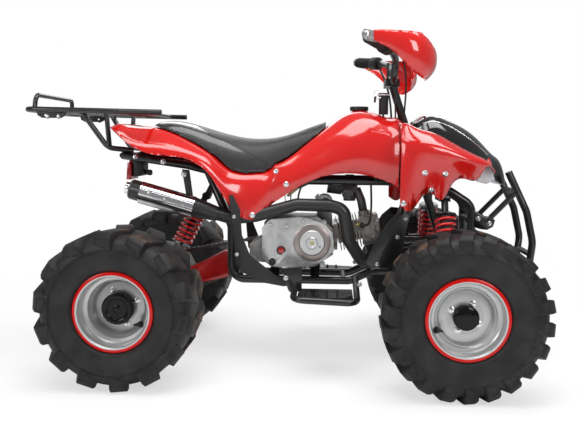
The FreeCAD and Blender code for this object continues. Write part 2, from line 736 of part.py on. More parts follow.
def sprocket_and_disc():
    bore = axle_r + seat_gap
    wheel = toothed(V(0, sprocket_y, hub_rear_z), sprocket_r, sprocket_teeth, sprocket_t / 2)
    wheel = wheel.cut(rod(V(0, 0, hub_rear_z), V(0, 2 * sprocket_y, hub_rear_z), bore))
    boss = turned([(bore, -12), (bore, 12), (32, 12), (32, -12)], 0, hub_rear_z, sprocket_y)
    holes = []
    for i in range(6):
        a = 2 * math.pi * i / 6
        centre = V(50 * math.cos(a), sprocket_y, hub_rear_z + 50 * math.sin(a))
        holes.append(rod(centre - Y * 20, centre + Y * 20, 9))
    disc = turned([(bore, -2), (bore, 2), (brake_disc_r, 2), (brake_disc_r, -2)], 0, hub_rear_z, brake_disc_y)
    hub = turned([(bore, -12), (bore, 12), (32, 12), (32, -12)], 0, hub_rear_z, brake_disc_y)
    return [fuse([wheel, boss]).cut(Part.makeCompound(holes)), fuse([disc, hub])]


def chain_loop():
    """Fixed loop of the drive chain, clear of the rear sprocket's teeth, waisted between its pins."""
    path = loop_wire(V(0, 0, hub_rear_z), sprocket_r + chain_clear + link_half_h,
                     V(drive_sprocket_x, 0, drive_sprocket_z), drive_sprocket_r + link_half_h)
    links = 2 * round(path.Length / chain_pitch / 2)
    pins = path.discretize(Number=links + 1)[:-1]
    edges = ([], [])
    for i, pin in enumerate(pins):
        after = pins[(i + 1) % links]
        for at, half in ((pin, link_half_h), ((pin + after) * 0.5, 0.62 * link_half_h)):
            across = Y.cross(unit(sub(after, pins[i - 1]))) * half
            edges[0].append(at + across)
            edges[1].append(at - across)
    plates = [Part.Face(Part.makePolygon(edge + edge[:1])).extrude(Y * (2 * chain_half_w)) for edge in edges]
    band = plates[0].cut(plates[1]) if plates[0].Volume > plates[1].Volume else plates[1].cut(plates[0])
    band.translate(Y * (sprocket_y - chain_half_w))
    return band


def loop_wire(a, ra, b, rb):
    """Closed belt line round two circles in the side view."""
    gap = sub(b, a)
    line = math.atan2(gap.z, gap.x)
    lean = math.acos((ra - rb) / gap.Length)
    top_a = V(a.x + ra * math.cos(line + lean), 0, a.z + ra * math.sin(line + lean))
    top_b = V(b.x + rb * math.cos(line + lean), 0, b.z + rb * math.sin(line + lean))
    low_a = V(a.x + ra * math.cos(line - lean), 0, a.z + ra * math.sin(line - lean))
    low_b = V(b.x + rb * math.cos(line - lean), 0, b.z + rb * math.sin(line - lean))
    back = V(a.x - ra * math.cos(line), 0, a.z - ra * math.sin(line))
    nose = V(b.x + rb * math.cos(line), 0, b.z + rb * math.sin(line))
    return Part.Wire([Part.LineSegment(top_a, top_b).toShape(), Part.Arc(top_b, nose, low_b).toShape(),
                      Part.LineSegment(low_b, low_a).toShape(), Part.Arc(low_a, back, top_a).toShape()])


def toothed(centre, pitch_r, teeth, half_t):
    """Sprocket blank with plain teeth, thick about its middle plane."""
    low, high = pitch_r - 1.1 * roller_r, pitch_r
    corners = []
    for i in range(teeth):
        for share, r in ((-0.30, low), (-0.12, high), (0.12, high), (0.30, low)):
            a = 2 * math.pi * (i + share) / teeth
            corners.append(centre + V(r * math.cos(a), -half_t, r * math.sin(a)))
    return Part.Face(Part.makePolygon(corners + corners[:1])).extrude(Y * (2 * half_t))


def engine():
    h = engine_half_w
    case = side_plate([(engine_x0, engine_z0 + 20), (engine_x0 + 25, engine_z0), (engine_x1 - 60, engine_z0),
                       (engine_x1, engine_z0 + 40), (engine_x1, engine_z1 - 40), (engine_x1 - 50, engine_z1),
                       (engine_x0 + 20, engine_z1), (engine_x0, engine_z1 - 20)], -h, h - 52)
    starter = rod(V(588, -60, 514), V(588, 40, 514), 27)
    starter_nose = rod(V(588, -74, 514), V(588, -60, 514), 18)
    neck = side_plate([(560, engine_z1 - 30), (616, engine_z1 - 30), (610, 500), (566, 500)], -30, 30)
    shaft = rod(V(drive_sprocket_x, 0, drive_sprocket_z), V(drive_sprocket_x, sprocket_y - 3, drive_sprocket_z), 12)
    nose = side_plate([(drive_sprocket_x - 24, drive_sprocket_z - 26), (engine_x0 + 6, drive_sprocket_z - 30),
                       (engine_x0 + 6, drive_sprocket_z + 60), (drive_sprocket_x - 24, drive_sprocket_z + 30)],
                      -h + 10, 38)
    pinion = rod(V(drive_sprocket_x, sprocket_y - 3, drive_sprocket_z), V(drive_sprocket_x, sprocket_y + 3, drive_sprocket_z),
                 drive_sprocket_r - seat_gap)
    reach = frame_half_width - frame_tube_r - seat_gap
    mount = [rod(V(x, -reach, engine_mount_z), V(x, reach, engine_mount_z), engine_mount_r) for x in engine_mount_xs]
    return fuse([case, starter, starter_nose, neck, shaft, nose, pinion] + mount)


def clutch_cover():
    y0 = -engine_half_w - seat_gap
    plate = side_plate([(392, 345), (392, 440), (418, 466), (505, 474), (548, 468), (590, 455), (616, 425),
                        (620, 370), (596, 345), (552, 322), (515, 314), (436, 314), (410, 324)], y0, y0 - 30)
    drum = rod(V(clutch_x, y0, clutch_z), V(clutch_x, -cover_out + 6, clutch_z), clutch_r + 8)
    face = rod(V(clutch_x, y0, clutch_z), V(clutch_x, -cover_out, clutch_z), clutch_r)
    plug = rod(V(clutch_x, y0, clutch_z), V(clutch_x, -cover_out - 5, clutch_z), 14)
    filler = rod(V(426, y0, 333), V(426, y0 - 40, 333), 15)
    window = rod(V(455, y0, 362), V(455, y0 - 34, 362), 16)
    return fuse([plate, drum, face, plug, filler, window])


def cylinder_head():
    tilt = math.radians(cylinder_tilt)
    along = V(math.cos(tilt), 0, math.sin(tilt))
    across = V(-math.sin(tilt), 0, math.cos(tilt))
    start = V(engine_x1 + seat_gap, 0, cylinder_z)
    barrel = rod(start + along * 12.0, start + along * (fin_count * fin_pitch + 20.0), 34)
    solids = [barrel]
    base = side_plate([(start.x, start.z - 46), (start.x + 14, start.z - 46), (start.x + 14, start.z + 46),
                       (start.x, start.z + 46)], -46, 46)
    solids.append(base)
    for i in range(fin_count):
        at = start + along * (16.0 + i * fin_pitch)
        solids.append(block_on(at, along, across, fin_t, fin_size, fin_size))
    head_at = start + along * (16.0 + fin_count * fin_pitch)
    solids.append(block_on(head_at, along, across, head_len, 0.8 * fin_size, 0.8 * fin_size))
    for i in range(3):
        solids.append(block_on(head_at + along * (10 + i * 1.6 * fin_pitch), along, across, fin_t, fin_size, fin_size))
    top = head_at + across * (0.4 * fin_size) + along * 20.0
    solids.append(rod(top, top + across * 16.0, 18))
    bottom = head_at - across * (0.4 * fin_size) + along * 24.0
    solids.append(rod(bottom, bottom - across * 12.0, exhaust_r + 6))
    return fuse(solids)


def block_on(at, along, across, depth, height, width):
    """Block standing on a point, square to a tilted line in the side view."""
    corners = [at + across * (height / 2) - Y * (width / 2), at - across * (height / 2) - Y * (width / 2),
               at - across * (height / 2) + Y * (width / 2), at + across * (height / 2) + Y * (width / 2)]
    return Part.Face(Part.makePolygon(corners + corners[:1])).extrude(along * depth)


def head_ports():
    tilt = math.radians(cylinder_tilt)
    along = V(math.cos(tilt), 0, math.sin(tilt))
    across = V(-math.sin(tilt), 0, math.cos(tilt))
    start = V(engine_x1 + seat_gap, 0, cylinder_z)
    head_at = start + along * (16.0 + fin_count * fin_pitch)
    intake = head_at + across * (0.4 * fin_size + 16.0) + along * 20.0
    outlet = head_at - across * (0.4 * fin_size + 12.0) + along * 24.0
    return intake, outlet, across


def carburettor():
    intake, _, up = head_ports()
    y = 0.0
    start = intake + up * seat_gap
    elbow = bent_tube([start, start + up * 34.0, V(692, y, 560)], 14, 24)
    body = rod(V(694, y, 560), V(644, y, 566), 21)
    bowl = rod(V(670, y, 520), V(670, y, 560), 20)
    slide = rod(V(670, y, 560), V(670, y, 606), 15)
    hose = rod(V(646, y, 566), V(598, y, 572), 27)
    return fuse([elbow, body, bowl, slide, hose])


def exhaust_pipe():
    _, outlet, up = head_ports()
    start = outlet - up * seat_gap
    knee = start - up * 44.0
    cone_end, along = muffler_inlet()
    path = [start, knee, V(712, -100, 330), V(666, exhaust_y, 404), V(650, exhaust_y, 500), V(606, exhaust_y, 512),
            V(500, exhaust_y, 514), V(372, exhaust_y, 477), cone_end + along * 46.0, cone_end + along * seat_gap]
    return bent_tube(path, exhaust_r, 40)


def muffler_inlet():
    tail, nose = V(-22, muffler_y, 558), V(176, muffler_y, 503)
    along = unit(sub(nose, tail))
    return nose + along * 80.0, along


def muffler():
    tail, nose = V(-22, muffler_y, 558), V(176, muffler_y, 503)
    end, along = muffler_inlet()
    can = rod(tail, nose, muffler_r)
    cone = Part.makeCone(muffler_r, exhaust_r + 3, 80.0, nose, along)
    tip = rod(tail - along * 18.0 - Z * 4, tail - Z * 4, 12)
    hanger = side_plate([(150, 535), (172, 530), (160, 620), (136, 622)], muffler_y + 10, muffler_y + 15)
    return fuse([can, cone, tip, hanger])


def heat_shield():
    tail, nose = V(8, muffler_y, 549), V(178, muffler_y, 502)
    shell = hollow_rod(tail, nose, muffler_r + 4.0, muffler_r + 2.0)
    keep = Part.makeBox(400, 100, 400, V(-100, muffler_y - 108, 350))
    shell = shell.common(keep)
    foot = (tail + nose) * 0.5
    pad = rod(foot - Y * (muffler_r - 4.0), foot - Y * (muffler_r + 3.0), 6)
    return fuse([shell, pad]).cut(rod(tail, nose, muffler_r + seat_gap))


def rear_rack():
    r, h = rack_tube_r, rack_half_w
    rear = -rear_reach + r
    slope = (rack_front_z - rack_rear_z) / (rack_front_x - rear)
    front = V(rack_front_x, -h, rack_front_z)
    near = V(rear, -h, rack_rear_z)
    loop = bent_tube([front, near, V(rear, h, rack_rear_z), V(rack_front_x, h, rack_front_z)], r, 40)
    solids = [loop]
    for x in (-240.0, -150.0, -60.0, 30.0):
        z = rack_rear_z + slope * (x - rear)
        solids.append(rod(V(x, -h, z), V(x, h, z), 0.75 * r))
    for y in (-0.45 * h, 0, 0.45 * h):
        solids.append(rod(V(rear, y, rack_rear_z), V(30.0, y, rack_rear_z + slope * (30 - rear)), 0.75 * r))
    hoop = bent_tube([V(-318, -160, rack_rear_z), V(-312, -160, 851), V(-312, 160, 851), V(-318, 160, rack_rear_z)],
                     0.85 * r, 25)
    hoop_feet = [rod(V(-318, s * 160, rack_rear_z), V(-318, s * h, rack_rear_z), 0.75 * r) for s in (-1, 1)]
    solids += [hoop] + hoop_feet
    for s in (-1, 1):
        solids.append(bent_tube([V(-170, s * 0.8 * h, 800), V(-97, s * 130, 688), V(-20, s * tail_half_width, tail_point(-20).z + frame_tube_r + r)], r, 40))
        solids.append(rod(V(-92, s * 0.8 * h, 799), V(-92, s * 130, 694), 0.9 * r))
        solids.append(rod(V(-240, s * h, 803), V(-170, s * 0.8 * h, 800), 0.75 * r))
        plate = side_plate(rack_plate, s * (h - 0.5 * rack_plate_t), s * (h + 0.5 * rack_plate_t))
        for x in rack_hole_xs:
            hole = V(x, s * h, rack_hole_z)
            plate = plate.cut(rod(hole - Y * over * 2, hole + Y * over * 2, rack_hole_r))
        solids.append(plate)
    return fuse(solids)


def front_bumper():
    r, h = bumper_tube_r, bumper_half_w
    nose = front_reach - r
    near = bent_tube([V(1165, -h, 622), V(1226, -h, 497), V(nose, -h, 400), V(1238, -h, 300), V(1085.6, -h, 296)], r, 90)
    solids = both_sides([near])
    for x, z in ((1192, 560), (nose - 4, 360)):
        solids.append(rod(V(x, -h, z), V(x, h, z), 0.8 * r))
    for s in (-1, 1):
        solids.append(rod(V(1192, s * h, 560), V(1100, s * h, 462), 0.75 * r))
    return fuse(solids)


def steering_stem():
    foot, up = stem_axis()
    low = stem_point(front_rail_z - 2.0)
    head = V(clamp_x, 0, clamp_z)
    column = rod(low, head, stem_r)
    ball = pitman_ball()
    plate_t = 6.0
    level = foot - up * (tie_ball_r + pitman_drop)
    rearward = up.cross(Y) * -1
    if rearward.x > 0:
        rearward = rearward * -1
    corners = [level + Y * 20, level - Y * 20, level - Y * (pitman_half + pitman_edge) + rearward * (pitman_len - 8),
               level - Y * (pitman_half + pitman_edge) + rearward * (pitman_len + 9),
               level + Y * (pitman_half + pitman_edge) + rearward * (pitman_len + 9),
               level + Y * (pitman_half + pitman_edge) + rearward * (pitman_len - 8)]
    pitman = Part.Face(Part.makePolygon(corners + corners[:1])).extrude(up * -plate_t)
    pivot = rod(ball - up * (tie_ball_r + pitman_drop + plate_t), ball - up * (tie_ball_half + seat_gap), tie_pivot_r)
    saddle = side_plate([(clamp_x - 22, clamp_z - 16), (clamp_x + 22, clamp_z - 16), (clamp_x + 22, clamp_z + 8),
                         (clamp_x - 22, clamp_z + 8)], -48, 48)
    bar = rod(head - Y * 60, head + Y * 60, bar_r + seat_gap)
    return fuse([column, pitman, saddle, pivot, mirrored(pivot)]).cut(bar)


def handlebar():
    points = [V(700, -bar_half_w, 1005), V(782, -180, 985), V(804, -100, 968), V(clamp_x, -86, clamp_z),
              V(clamp_x, 0, clamp_z)]
    half = bent_tube(points, bar_r, 36)
    return fuse([half, mirrored(half)])


def bar_run():
    a, b = V(700, -bar_half_w, 1005), V(782, -180, 985)
    return a, unit(sub(b, a))


def controls():
    """Right-hand grip, switch box and brake lever."""
    end, along = bar_run()
    grip = hollow_rod(end + along * 8.0, end + along * grip_len, grip_r, bar_r + seat_gap)
    box = hollow_rod(end + along * (grip_len + seat_gap), end + along * (grip_len + 34), grip_r + 6, bar_r + seat_gap)
    perch = end + along * (grip_len + 26)
    lever = bent_tube([perch + X * 16, perch + X * 34 + Y * 4, end + along * 14 + X * 44 - Z * 6], 5, 20)
    return [grip, fuse([box, lever])]


# Handguard stations: place and outward direction in plan, low and high edge, and how far the middle bulges
guard_stations = [
    ((720, -351), (-0.25, -1.0), 990, 1018, 1.0),
    ((765, -357), (-0.08, -1.0), 966, 1017, 5.0),
    ((812, -357), (0.25, -1.0), 924, 1015, 12.0),
    ((852, -337), (0.80, -0.90), 893, 1012, 18.0),
    ((876, -290), (1.0, -0.35), 889, 1004, 22.0),
    ((884, -225), (1.0, -0.06), 894, 990, 20.0),
    ((883, -150), (1.0, 0.05), 904, 974, 14.0),
    ((878, -98), (1.0, 0.10), 920, 955, 4.0),
]


def guard_section(place, outward, low, high, bulge, inset):
    """Bowed vertical line of the guard at one station, sunk from its outer face by an inset."""
    out = unit(V(outward[0], outward[1], 0))
    foot = V(place[0], place[1], 0) - out * inset
    middle = 0.5 * (low + high)
    return [foot + Z * low, foot + out * bulge + Z * (0.6 * low + 0.4 * middle),
            foot + out * (1.25 * bulge) + Z * middle, foot + out * bulge + Z * (0.6 * high + 0.4 * middle),
            foot + Z * high]


def handguard():
    """Right-hand guard, a bowed shell round the fingers, and its bar-end bracket."""
    wires = []
    for station in guard_stations:
        outer, inner = guard_section(*station, 0), guard_section(*station, guard_wall)[::-1]
        wires.append(Part.Wire([pole_curve(outer), Part.LineSegment(outer[-1], inner[0]).toShape(),
                                pole_curve(inner), Part.LineSegment(inner[-1], outer[0]).toShape()]))
    shell = Part.makeLoft(wires[::-1], True, False)
    bracket = side_plate([(686, 1012), (694, 1022), (734, 1014), (730, 984), (700, 990), (688, 998)],
                         bracket_in, bracket_in - bracket_t)
    for x, z in guard_bolts:
        bracket = bracket.cut(rod(V(x, bracket_in + over, z), V(x, bracket_in - over - bracket_t, z), guard_bolt_r))
    return shell, bracket


# Panels: stations along the machine, each with (y, z) control points from the middle outwards
tank_stations = [
    (0.438, [(0, 634), (70, 636), (104, 644), (118, 620), (128, 570), (118, 520)]),
    (0.509, [(0, 676), (60, 678), (94, 686), (120, 640), (132, 590), (120, 566)]),
    (0.604, [(0, 760), (50, 764), (96, 744), (130, 690), (138, 630), (126, 606)]),
    (0.672, [(0, 808), (72, 804), (124, 750), (146, 690), (146, 640), (128, 614)]),
    (0.754, [(0, 812), (80, 800), (132, 752), (152, 694), (148, 630), (130, 604)]),
    (0.830, [(0, 798), (84, 788), (138, 756), (168, 700), (166, 620), (150, 574)]),
]
tank_stations = [(share * wheelbase, half) for share, half in tank_stations]
# ridge and crease: doubled points keep the fold crisp
front_fender_stations = [
    (-167, [(0, 796), (84, 788), (140, 764), (168, 756), (206, 728), (214, 690), (216, 600), (214, 520)]),
    (-140, [(0, 764), (84, 762), (150, 768), (172, 768), (214, 722), (227, 700), (222, 620), (214, 506)]),
    (-120, [(0, 742), (84, 744), (150, 758), (172, 759), (216, 720), (231, 701), (222, 640), (208, 520)]),
    (-92, [(0, 728), (84, 730), (148, 748), (172, 751), (216, 718), (232, 700), (226, 660), (200, 556)]),
    (-40, [(0, 706), (82, 708), (146, 728), (170, 733), (214, 706), (230, 688), (222, 650), (190, 540)]),
    (-12, [(0, 690), (80, 692), (144, 712), (168, 718), (212, 696), (228, 680), (220, 650), (188, 582)]),
    (20, [(0, 668), (78, 672), (142, 694), (166, 700), (208, 684), (224, 668), (216, 648), (184, 604)]),
    (78, [(0, 630), (70, 636), (132, 664), (156, 672), (190, 664), (206, 652), (200, 636), (166, 608)]),
    (128, [(0, 604), (50, 608), (96, 622), (116, 630), (136, 630), (144, 626), (142, 620), (124, 614)]),
]
front_fender_stations = [(wheelbase + ahead + seat_gap, half) for ahead, half in front_fender_stations]
rear_fender_stations = [
    (-76, [(0, 758), (70, 758), (112, 757), (140, 756), (160, 755), (170, 752)]),
    (-20, [(0, 760), (80, 760), (118, 756), (160, 736), (184, 718), (190, 704)]),
    (40, [(0, 756), (84, 756), (126, 750), (168, 714), (190, 694), (192, 674)]),
    (110, [(0, 742), (84, 742), (128, 736), (170, 706), (190, 686), (192, 664)]),
    (180, [(0, 708), (80, 708), (130, 704), (170, 682), (188, 668), (188, 650)]),
    (240, [(0, 668), (80, 668), (128, 664), (160, 648), (178, 624), (176, 598)]),
    (290, [(0, 630), (74, 630), (116, 626), (148, 604), (164, 566), (160, 516)]),
    (345, [(0, 618), (66, 618), (108, 616), (138, 590), (148, 530), (144, 468)]),
    (372, [(0, 619), (66, 619), (104, 617), (134, 592), (142, 530), (136, 468)]),
    (0.438 * wheelbase - seat_gap, [(0, 634), (70, 636), (104, 644), (120, 620), (128, 570), (120, 520)]),
]
nose_stations = [
    (-114, [(0, 780), (44, 778), (76, 772), (92, 746)]),
    (-84, [(0, 800), (52, 794), (96, 776), (112, 728)]),
    (-52, [(0, 808), (56, 800), (104, 770), (120, 716)]),
    (-7, [(0, 790), (56, 784), (104, 748), (122, 694)]),
    (49, [(0, 762), (54, 756), (100, 716), (118, 652)]),
    (101, [(0, 722), (50, 716), (88, 676), (104, 616)]),
    (148, [(0, 676), (40, 670), (70, 634), (84, 590)]),
    (180, [(0, 622), (26, 618), (46, 604), (56, 580)]),
]
nose_stations = [(wheelbase + ahead, half) for ahead, half in nose_stations]
seat_stations = [
    (0.043, [(0, 770), (60, 768), (110, 762), (120, 730)]),
    (0.122, [(0, 776), (80, 772), (134, 758), (136, 700)]),
    (0.176, [(0, 764), (84, 760), (138, 740), (138, 668)]),
    (0.244, [(0, 744), (80, 740), (134, 706), (134, 630)]),
    (0.312, [(0, 728), (76, 724), (128, 680), (126, 606)]),
    (0.376, [(0, 722), (70, 718), (118, 676), (116, 600)]),
    (0.448, [(0, 729), (62, 724), (98, 700), (100, 616)]),
    (0.514, [(0, 748), (54, 744), (84, 724), (88, 664)]),
    (0.601, [(0, 782), (40, 780), (56, 774), (60, 740)]),
]
seat_stations = [(share * wheelbase, half) for share, half in seat_stations]


def tank_cover():
    cover = shell_loft(tank_stations, panel_wall)
    return cover.cut(rod(V(cap_x, 0, top_rail_z), V(cap_x, 0, clamp_z), cap_neck_r + seat_gap))


def front_fender():
    fender = shell_loft(front_fender_stations, panel_wall)
    return fender.cut(rod(stem_point(top_rail_z), stem_point(clamp_z), stem_r + 14.0))


def rear_fender():
    return shell_loft(rear_fender_stations, panel_wall)


def nose_panel():
    """Cowl over the front fender, resting on it."""
    cowl = solid_loft(nose_stations)
    cowl = cowl.cut(below_panel(front_fender_stations, 0, 3 * seat_gap))
    return cowl.cut(rod(stem_point(top_rail_z), stem_point(clamp_z), stem_r + 14.0))


def seat():
    """Seat whose underside follows the panels that carry it."""
    whole = solid_loft(seat_stations)
    for stations, rise in ((rear_fender_stations, 7 * seat_gap), (tank_stations, 5 * seat_gap)):
        whole = whole.cut(below_panel(stations, 0, rise))
    return whole


def top_of(shape, x, y):
    """Height of a piece's topmost surface at a place."""
    return max(v.Z for v in shape.common(Part.makeLine(V(x, y, 0), V(x, y, 2 * clamp_z))).Vertexes)


def fuel_cap(cover):
    reaches = (cap_r, 0.5 * (cap_r + cap_neck_r), cap_neck_r + seat_gap)
    rays = [(r * math.cos(a), r * math.sin(a)) for r in reaches for a in (math.radians(15 * i) for i in range(24))]
    z = max(top_of(cover, cap_x + dx, dy) for dx, dy in rays) + seat_gap
    neck = rod(V(cap_x, 0, z - 30.0), V(cap_x, 0, z), cap_neck_r)
    return fuse([neck, rod(V(cap_x, 0, z), V(cap_x, 0, z + cap_t), cap_r)])


def key_switch(cover):
    """Ignition lock standing on the tank cover."""
    rays = [(key_x + 0.95 * key_r * math.cos(a), key_y + 0.95 * key_r * math.sin(a))
            for a in (math.radians(30 * i) for i in range(12))]
    z = max(top_of(cover, x, y) for x, y in rays + [(key_x, key_y)]) + seat_gap
    body = rod(V(key_x, key_y, z), V(key_x, key_y, key_top_z - 6.0), key_r - 2.0)
    collar = rod(V(key_x, key_y, key_top_z - 10.0), V(key_x, key_y, key_top_z), key_r)
    return fuse([body, collar])


def headlamp():
    """Right-hand lamp, tucked up against the underside of the front fender's tip."""
    under = below_panel(front_fender_stations, panel_wall, -3 * seat_gap)
    sections = []
    for y in lamp_ys:
        top = [(x, top_of(under, x, y)) for x in lamp_top_xs]
        corners = [V(x, y, z) for x, z in top + lamp_glass]
        sections.append(Part.makePolygon(corners + corners[:1]))
    return Part.makeLoft(sections, True, True)


def tail_lamp():
    top = tail_z - brace_tube_r - seat_gap
    lamp = side_plate([(-64, 584), (-48, 584), (-46, 640), (-60, 640)], -46, 46)
    return fuse([lamp, side_plate([(-60, 620), (-54, 620), (-54, top), (-60, top)], -24, 24)])


def footrest():
    """Right-hand foot peg plate inside its tube hoop."""
    y_in, y_out = -frame_half_width - frame_tube_r - seat_gap - 1.5, -300.0
    hoop = bent_tube([V(500, y_in, cradle_z - 4), V(500, y_out, 248), V(690, y_out, 240), V(690, y_in, 274)],
                     10, 34)
    pad = top_plate([(512, -150), (512, -288), (678, -288), (678, -150)], 246, 252)
    teeth = [side_plate([(x, 250), (x + peg_tooth, 250), (x + 0.5 * peg_tooth, 250 + peg_tooth)], y, y + 3.0)
             for y in (-280.0, -246.0, -212.0) for x in (530.0, 562.0, 594.0, 626.0)]
    heel = side_plate([(464, 325), (523, 332), (523, 257), (486, 252), (480, 262)], -212, -208)
    return fuse([hoop, pad, heel] + teeth)


def heel_guard():
    outline = [(293, 545), (306, 546), (328, 499), (334, 421), (359, 359), (438, 297), (500, 268), (486, 264),
               (463, 262), (391, 274), (337, 303), (315, 336), (306, 436)]
    return side_plate(outline, -172, -168)


def splash_guard():
    outline = [(852, 487), (818, 490), (788, 464), (752, 407), (722, 340), (724, 318), (781, 320), (828, 340)]
    plate = side_plate(outline, -132, -128)
    spacers = []
    for z in (372.0, 455.0):
        share = (z - front_rail_z) / (top_rail_z - front_rail_z)
        x = down_tube_foot_x + share * (down_tube_top_x - down_tube_foot_x)
        spacers.append(rod(V(x, -130, z), V(x, -frame_half_width - frame_tube_r - seat_gap, z), 7))
    return fuse([plate] + spacers)


# Parts to write
parts = {}


def add(name, solids):
    """Keep a piece, moved so that x is counted from the middle of the length."""
    shape = solids if isinstance(solids, Part.Shape) else Part.makeCompound(solids)
    shape.translate(V(-middle_x, 0, 0))
    parts[name] = shape


def build():
    tyre_f, rim_f, hub_f, cap_out = front_wheel_pieces()
    for side, keep in (("right", lambda s: s.copy()), ("left", mirrored)):
        add("front_tyre_" + side, keep(tyre_f))
        add("front_rim_" + side, keep(rim_f))
        add("front_hub_" + side, keep(hub_f))
        add("knuckle_" + side, keep(knuckle(cap_out)))
        inner, outer = pitman_ball(), steer_ball()
        foot, up = stem_axis()
        ends = [rod(p - d * tie_ball_half, p + d * tie_ball_half, tie_ball_r) for p, d in ((inner, up), (outer, Z))]
        add("tie_rod_" + side, keep(fuse([rod(inner, outer, tie_rod_r)] + ends)))
    body = tyre(rear_tyre_r, rear_tyre_w, rear_rim_w, rear_lugs, rear_lug_w, 18)
    body.translate(V(0, -(rear_rim_out - rear_rim_w / 2), hub_rear_z))
    add("rear_tyres", both_sides([body]))
    add("rear_rims", both_sides([rim(rear_rim_w, rear_rim_out, rear_disc_in, 0, hub_rear_z)]))
    add("rear_axle", rear_axle())
    add("sprocket_and_disc", sprocket_and_disc())
    add("main_frame", main_frame())
    add("swingarm", swingarm())
    add("axle_carrier", axle_carrier())
    add("suspension_arms", both_sides(arm_pair()))
    damper, spring = shock(V(shock_x, -shock_top_y, shock_top_z), shock_foot(), X)
    rear_damper, rear_spring = shock(V(rear_shock_top_x, 0, rear_shock_top_z),
                                     V(rear_shock_foot_x, 0, rear_shock_foot_z), Y)
    add("shock_absorbers", both_sides([damper]) + [rear_damper])
    add("springs", both_sides([spring]) + [rear_spring])
    add("drive_chain", chain_loop())
    add("engine", engine())
    add("clutch_cover", clutch_cover())
    add("cylinder_head", cylinder_head())
    add("carburettor", carburettor())
    add("exhaust_pipe", exhaust_pipe())
    add("muffler", muffler())
    add("heat_shield", heat_shield())
    add("rear_rack", rear_rack())
    add("front_bumper", front_bumper())
    add("steering_stem", steering_stem())
    add("handlebar", handlebar())
    add("bar_controls", both_sides(controls()))
    shell, bracket = handguard()
    add("handguards", both_sides([shell]))
    add("guard_brackets", both_sides([bracket]))
    cover = tank_cover()
    add("fuel_cap", fuel_cap(cover))
    add("key_switch", key_switch(cover))
    add("tank_cover", cover)
    add("front_fender", front_fender())
    add("rear_fender", rear_fender())
    add("nose_panel", nose_panel())
    add("seat", seat())
    add("headlamps", both_sides([headlamp()]))
    add("tail_lamp", tail_lamp())
    add("footrests", both_sides([footrest()]))
    add("heel_guards", both_sides([heel_guard()]))
    add("splash_guards", both_sides([splash_guard()]))
    os.makedirs("parts", exist_ok=True)
    for name, shape in parts.items():
        shape.exportStep("parts/" + name + ".step")


build()
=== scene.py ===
import json
import math
import bpy
from mathutils import Matrix, Vector


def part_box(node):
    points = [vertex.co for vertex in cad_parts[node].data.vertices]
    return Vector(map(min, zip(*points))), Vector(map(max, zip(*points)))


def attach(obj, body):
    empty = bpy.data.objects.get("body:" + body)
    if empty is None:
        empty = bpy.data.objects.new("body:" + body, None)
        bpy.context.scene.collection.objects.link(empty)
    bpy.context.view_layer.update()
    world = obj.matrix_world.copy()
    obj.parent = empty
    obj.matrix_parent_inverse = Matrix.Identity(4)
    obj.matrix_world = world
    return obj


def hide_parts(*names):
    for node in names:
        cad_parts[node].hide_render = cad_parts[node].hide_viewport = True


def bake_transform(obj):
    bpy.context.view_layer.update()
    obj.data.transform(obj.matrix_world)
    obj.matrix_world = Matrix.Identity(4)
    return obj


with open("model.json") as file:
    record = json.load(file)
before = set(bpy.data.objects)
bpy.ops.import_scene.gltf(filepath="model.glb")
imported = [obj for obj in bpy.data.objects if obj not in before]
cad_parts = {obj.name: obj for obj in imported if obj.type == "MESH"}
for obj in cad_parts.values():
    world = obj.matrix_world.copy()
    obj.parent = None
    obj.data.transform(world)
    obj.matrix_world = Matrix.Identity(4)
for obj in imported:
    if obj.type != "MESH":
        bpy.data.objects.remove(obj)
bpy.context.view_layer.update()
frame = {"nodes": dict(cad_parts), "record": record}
bodyOf = {node: body for body, nodes in frame["record"]["behaviour"]["bodies"].items() for node in nodes}
print("frame loaded:", len(bodyOf), "nodes")


# places: millimetres ahead of the rear axle, to the left and above the floor, turned to metres
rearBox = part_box("rear_axle")
rearAxleX = (rearBox[0].x + rearBox[1].x) / 2
out = Vector((0, -1, 0))  # away from the bike on its right side
farOut = 900  # millimetres, well outside the bike


def at(x, y, z):
    return Vector((rearAxleX + x / 1000, y / 1000, z / 1000))


# selecting and applying
def deselect():
    if bpy.context.object and bpy.context.object.mode != "OBJECT":
        bpy.ops.object.mode_set(mode="OBJECT")
    bpy.ops.object.select_all(action="DESELECT")


def choose(obj):
    deselect()
    obj.select_set(True)
    bpy.context.view_layer.objects.active = obj
    return obj


def edit(obj, selectMode="FACE"):
    choose(obj)
    bpy.ops.object.mode_set(mode="EDIT")
    bpy.ops.mesh.select_mode(type=selectMode)


def leaveEdit():
    bpy.ops.object.mode_set(mode="OBJECT")


def selectFaces(obj, test):
    edit(obj)
    bpy.ops.mesh.select_all(action="DESELECT")
    leaveEdit()
    for face in obj.data.polygons:
        face.select = test(face)
    bpy.ops.object.mode_set(mode="EDIT")


# doubles within the distance are merged and the faces turned outwards; leaves edit mode
def cleaned(obj, merge=None):
    bpy.ops.mesh.select_all(action="SELECT")
    if merge:
        bpy.ops.mesh.remove_doubles(threshold=merge)
    bpy.ops.mesh.normals_make_consistent(inside=False)
    leaveEdit()
    return obj


def modify(obj, kind, **settings):
    choose(obj)
    modifier = obj.modifiers.new(kind.title(), kind)
    for key, value in settings.items():
        setattr(modifier, key, value)
    bpy.ops.object.modifier_apply(modifier=modifier.name)
    return obj


# edges sharper than the angle are rounded over
def rounded(obj, width, degrees=40):
    limit = math.radians(degrees)
    return modify(obj, "BEVEL", width=width, segments=2, limit_method="ANGLE", angle_limit=limit)


def smooth(obj, degrees):
    choose(obj)
    bpy.ops.object.shade_smooth_by_angle(angle=math.radians(degrees))
    return obj


def settle(obj):
    choose(obj)
    bpy.ops.object.transform_apply(location=True, rotation=True, scale=True)
    return obj


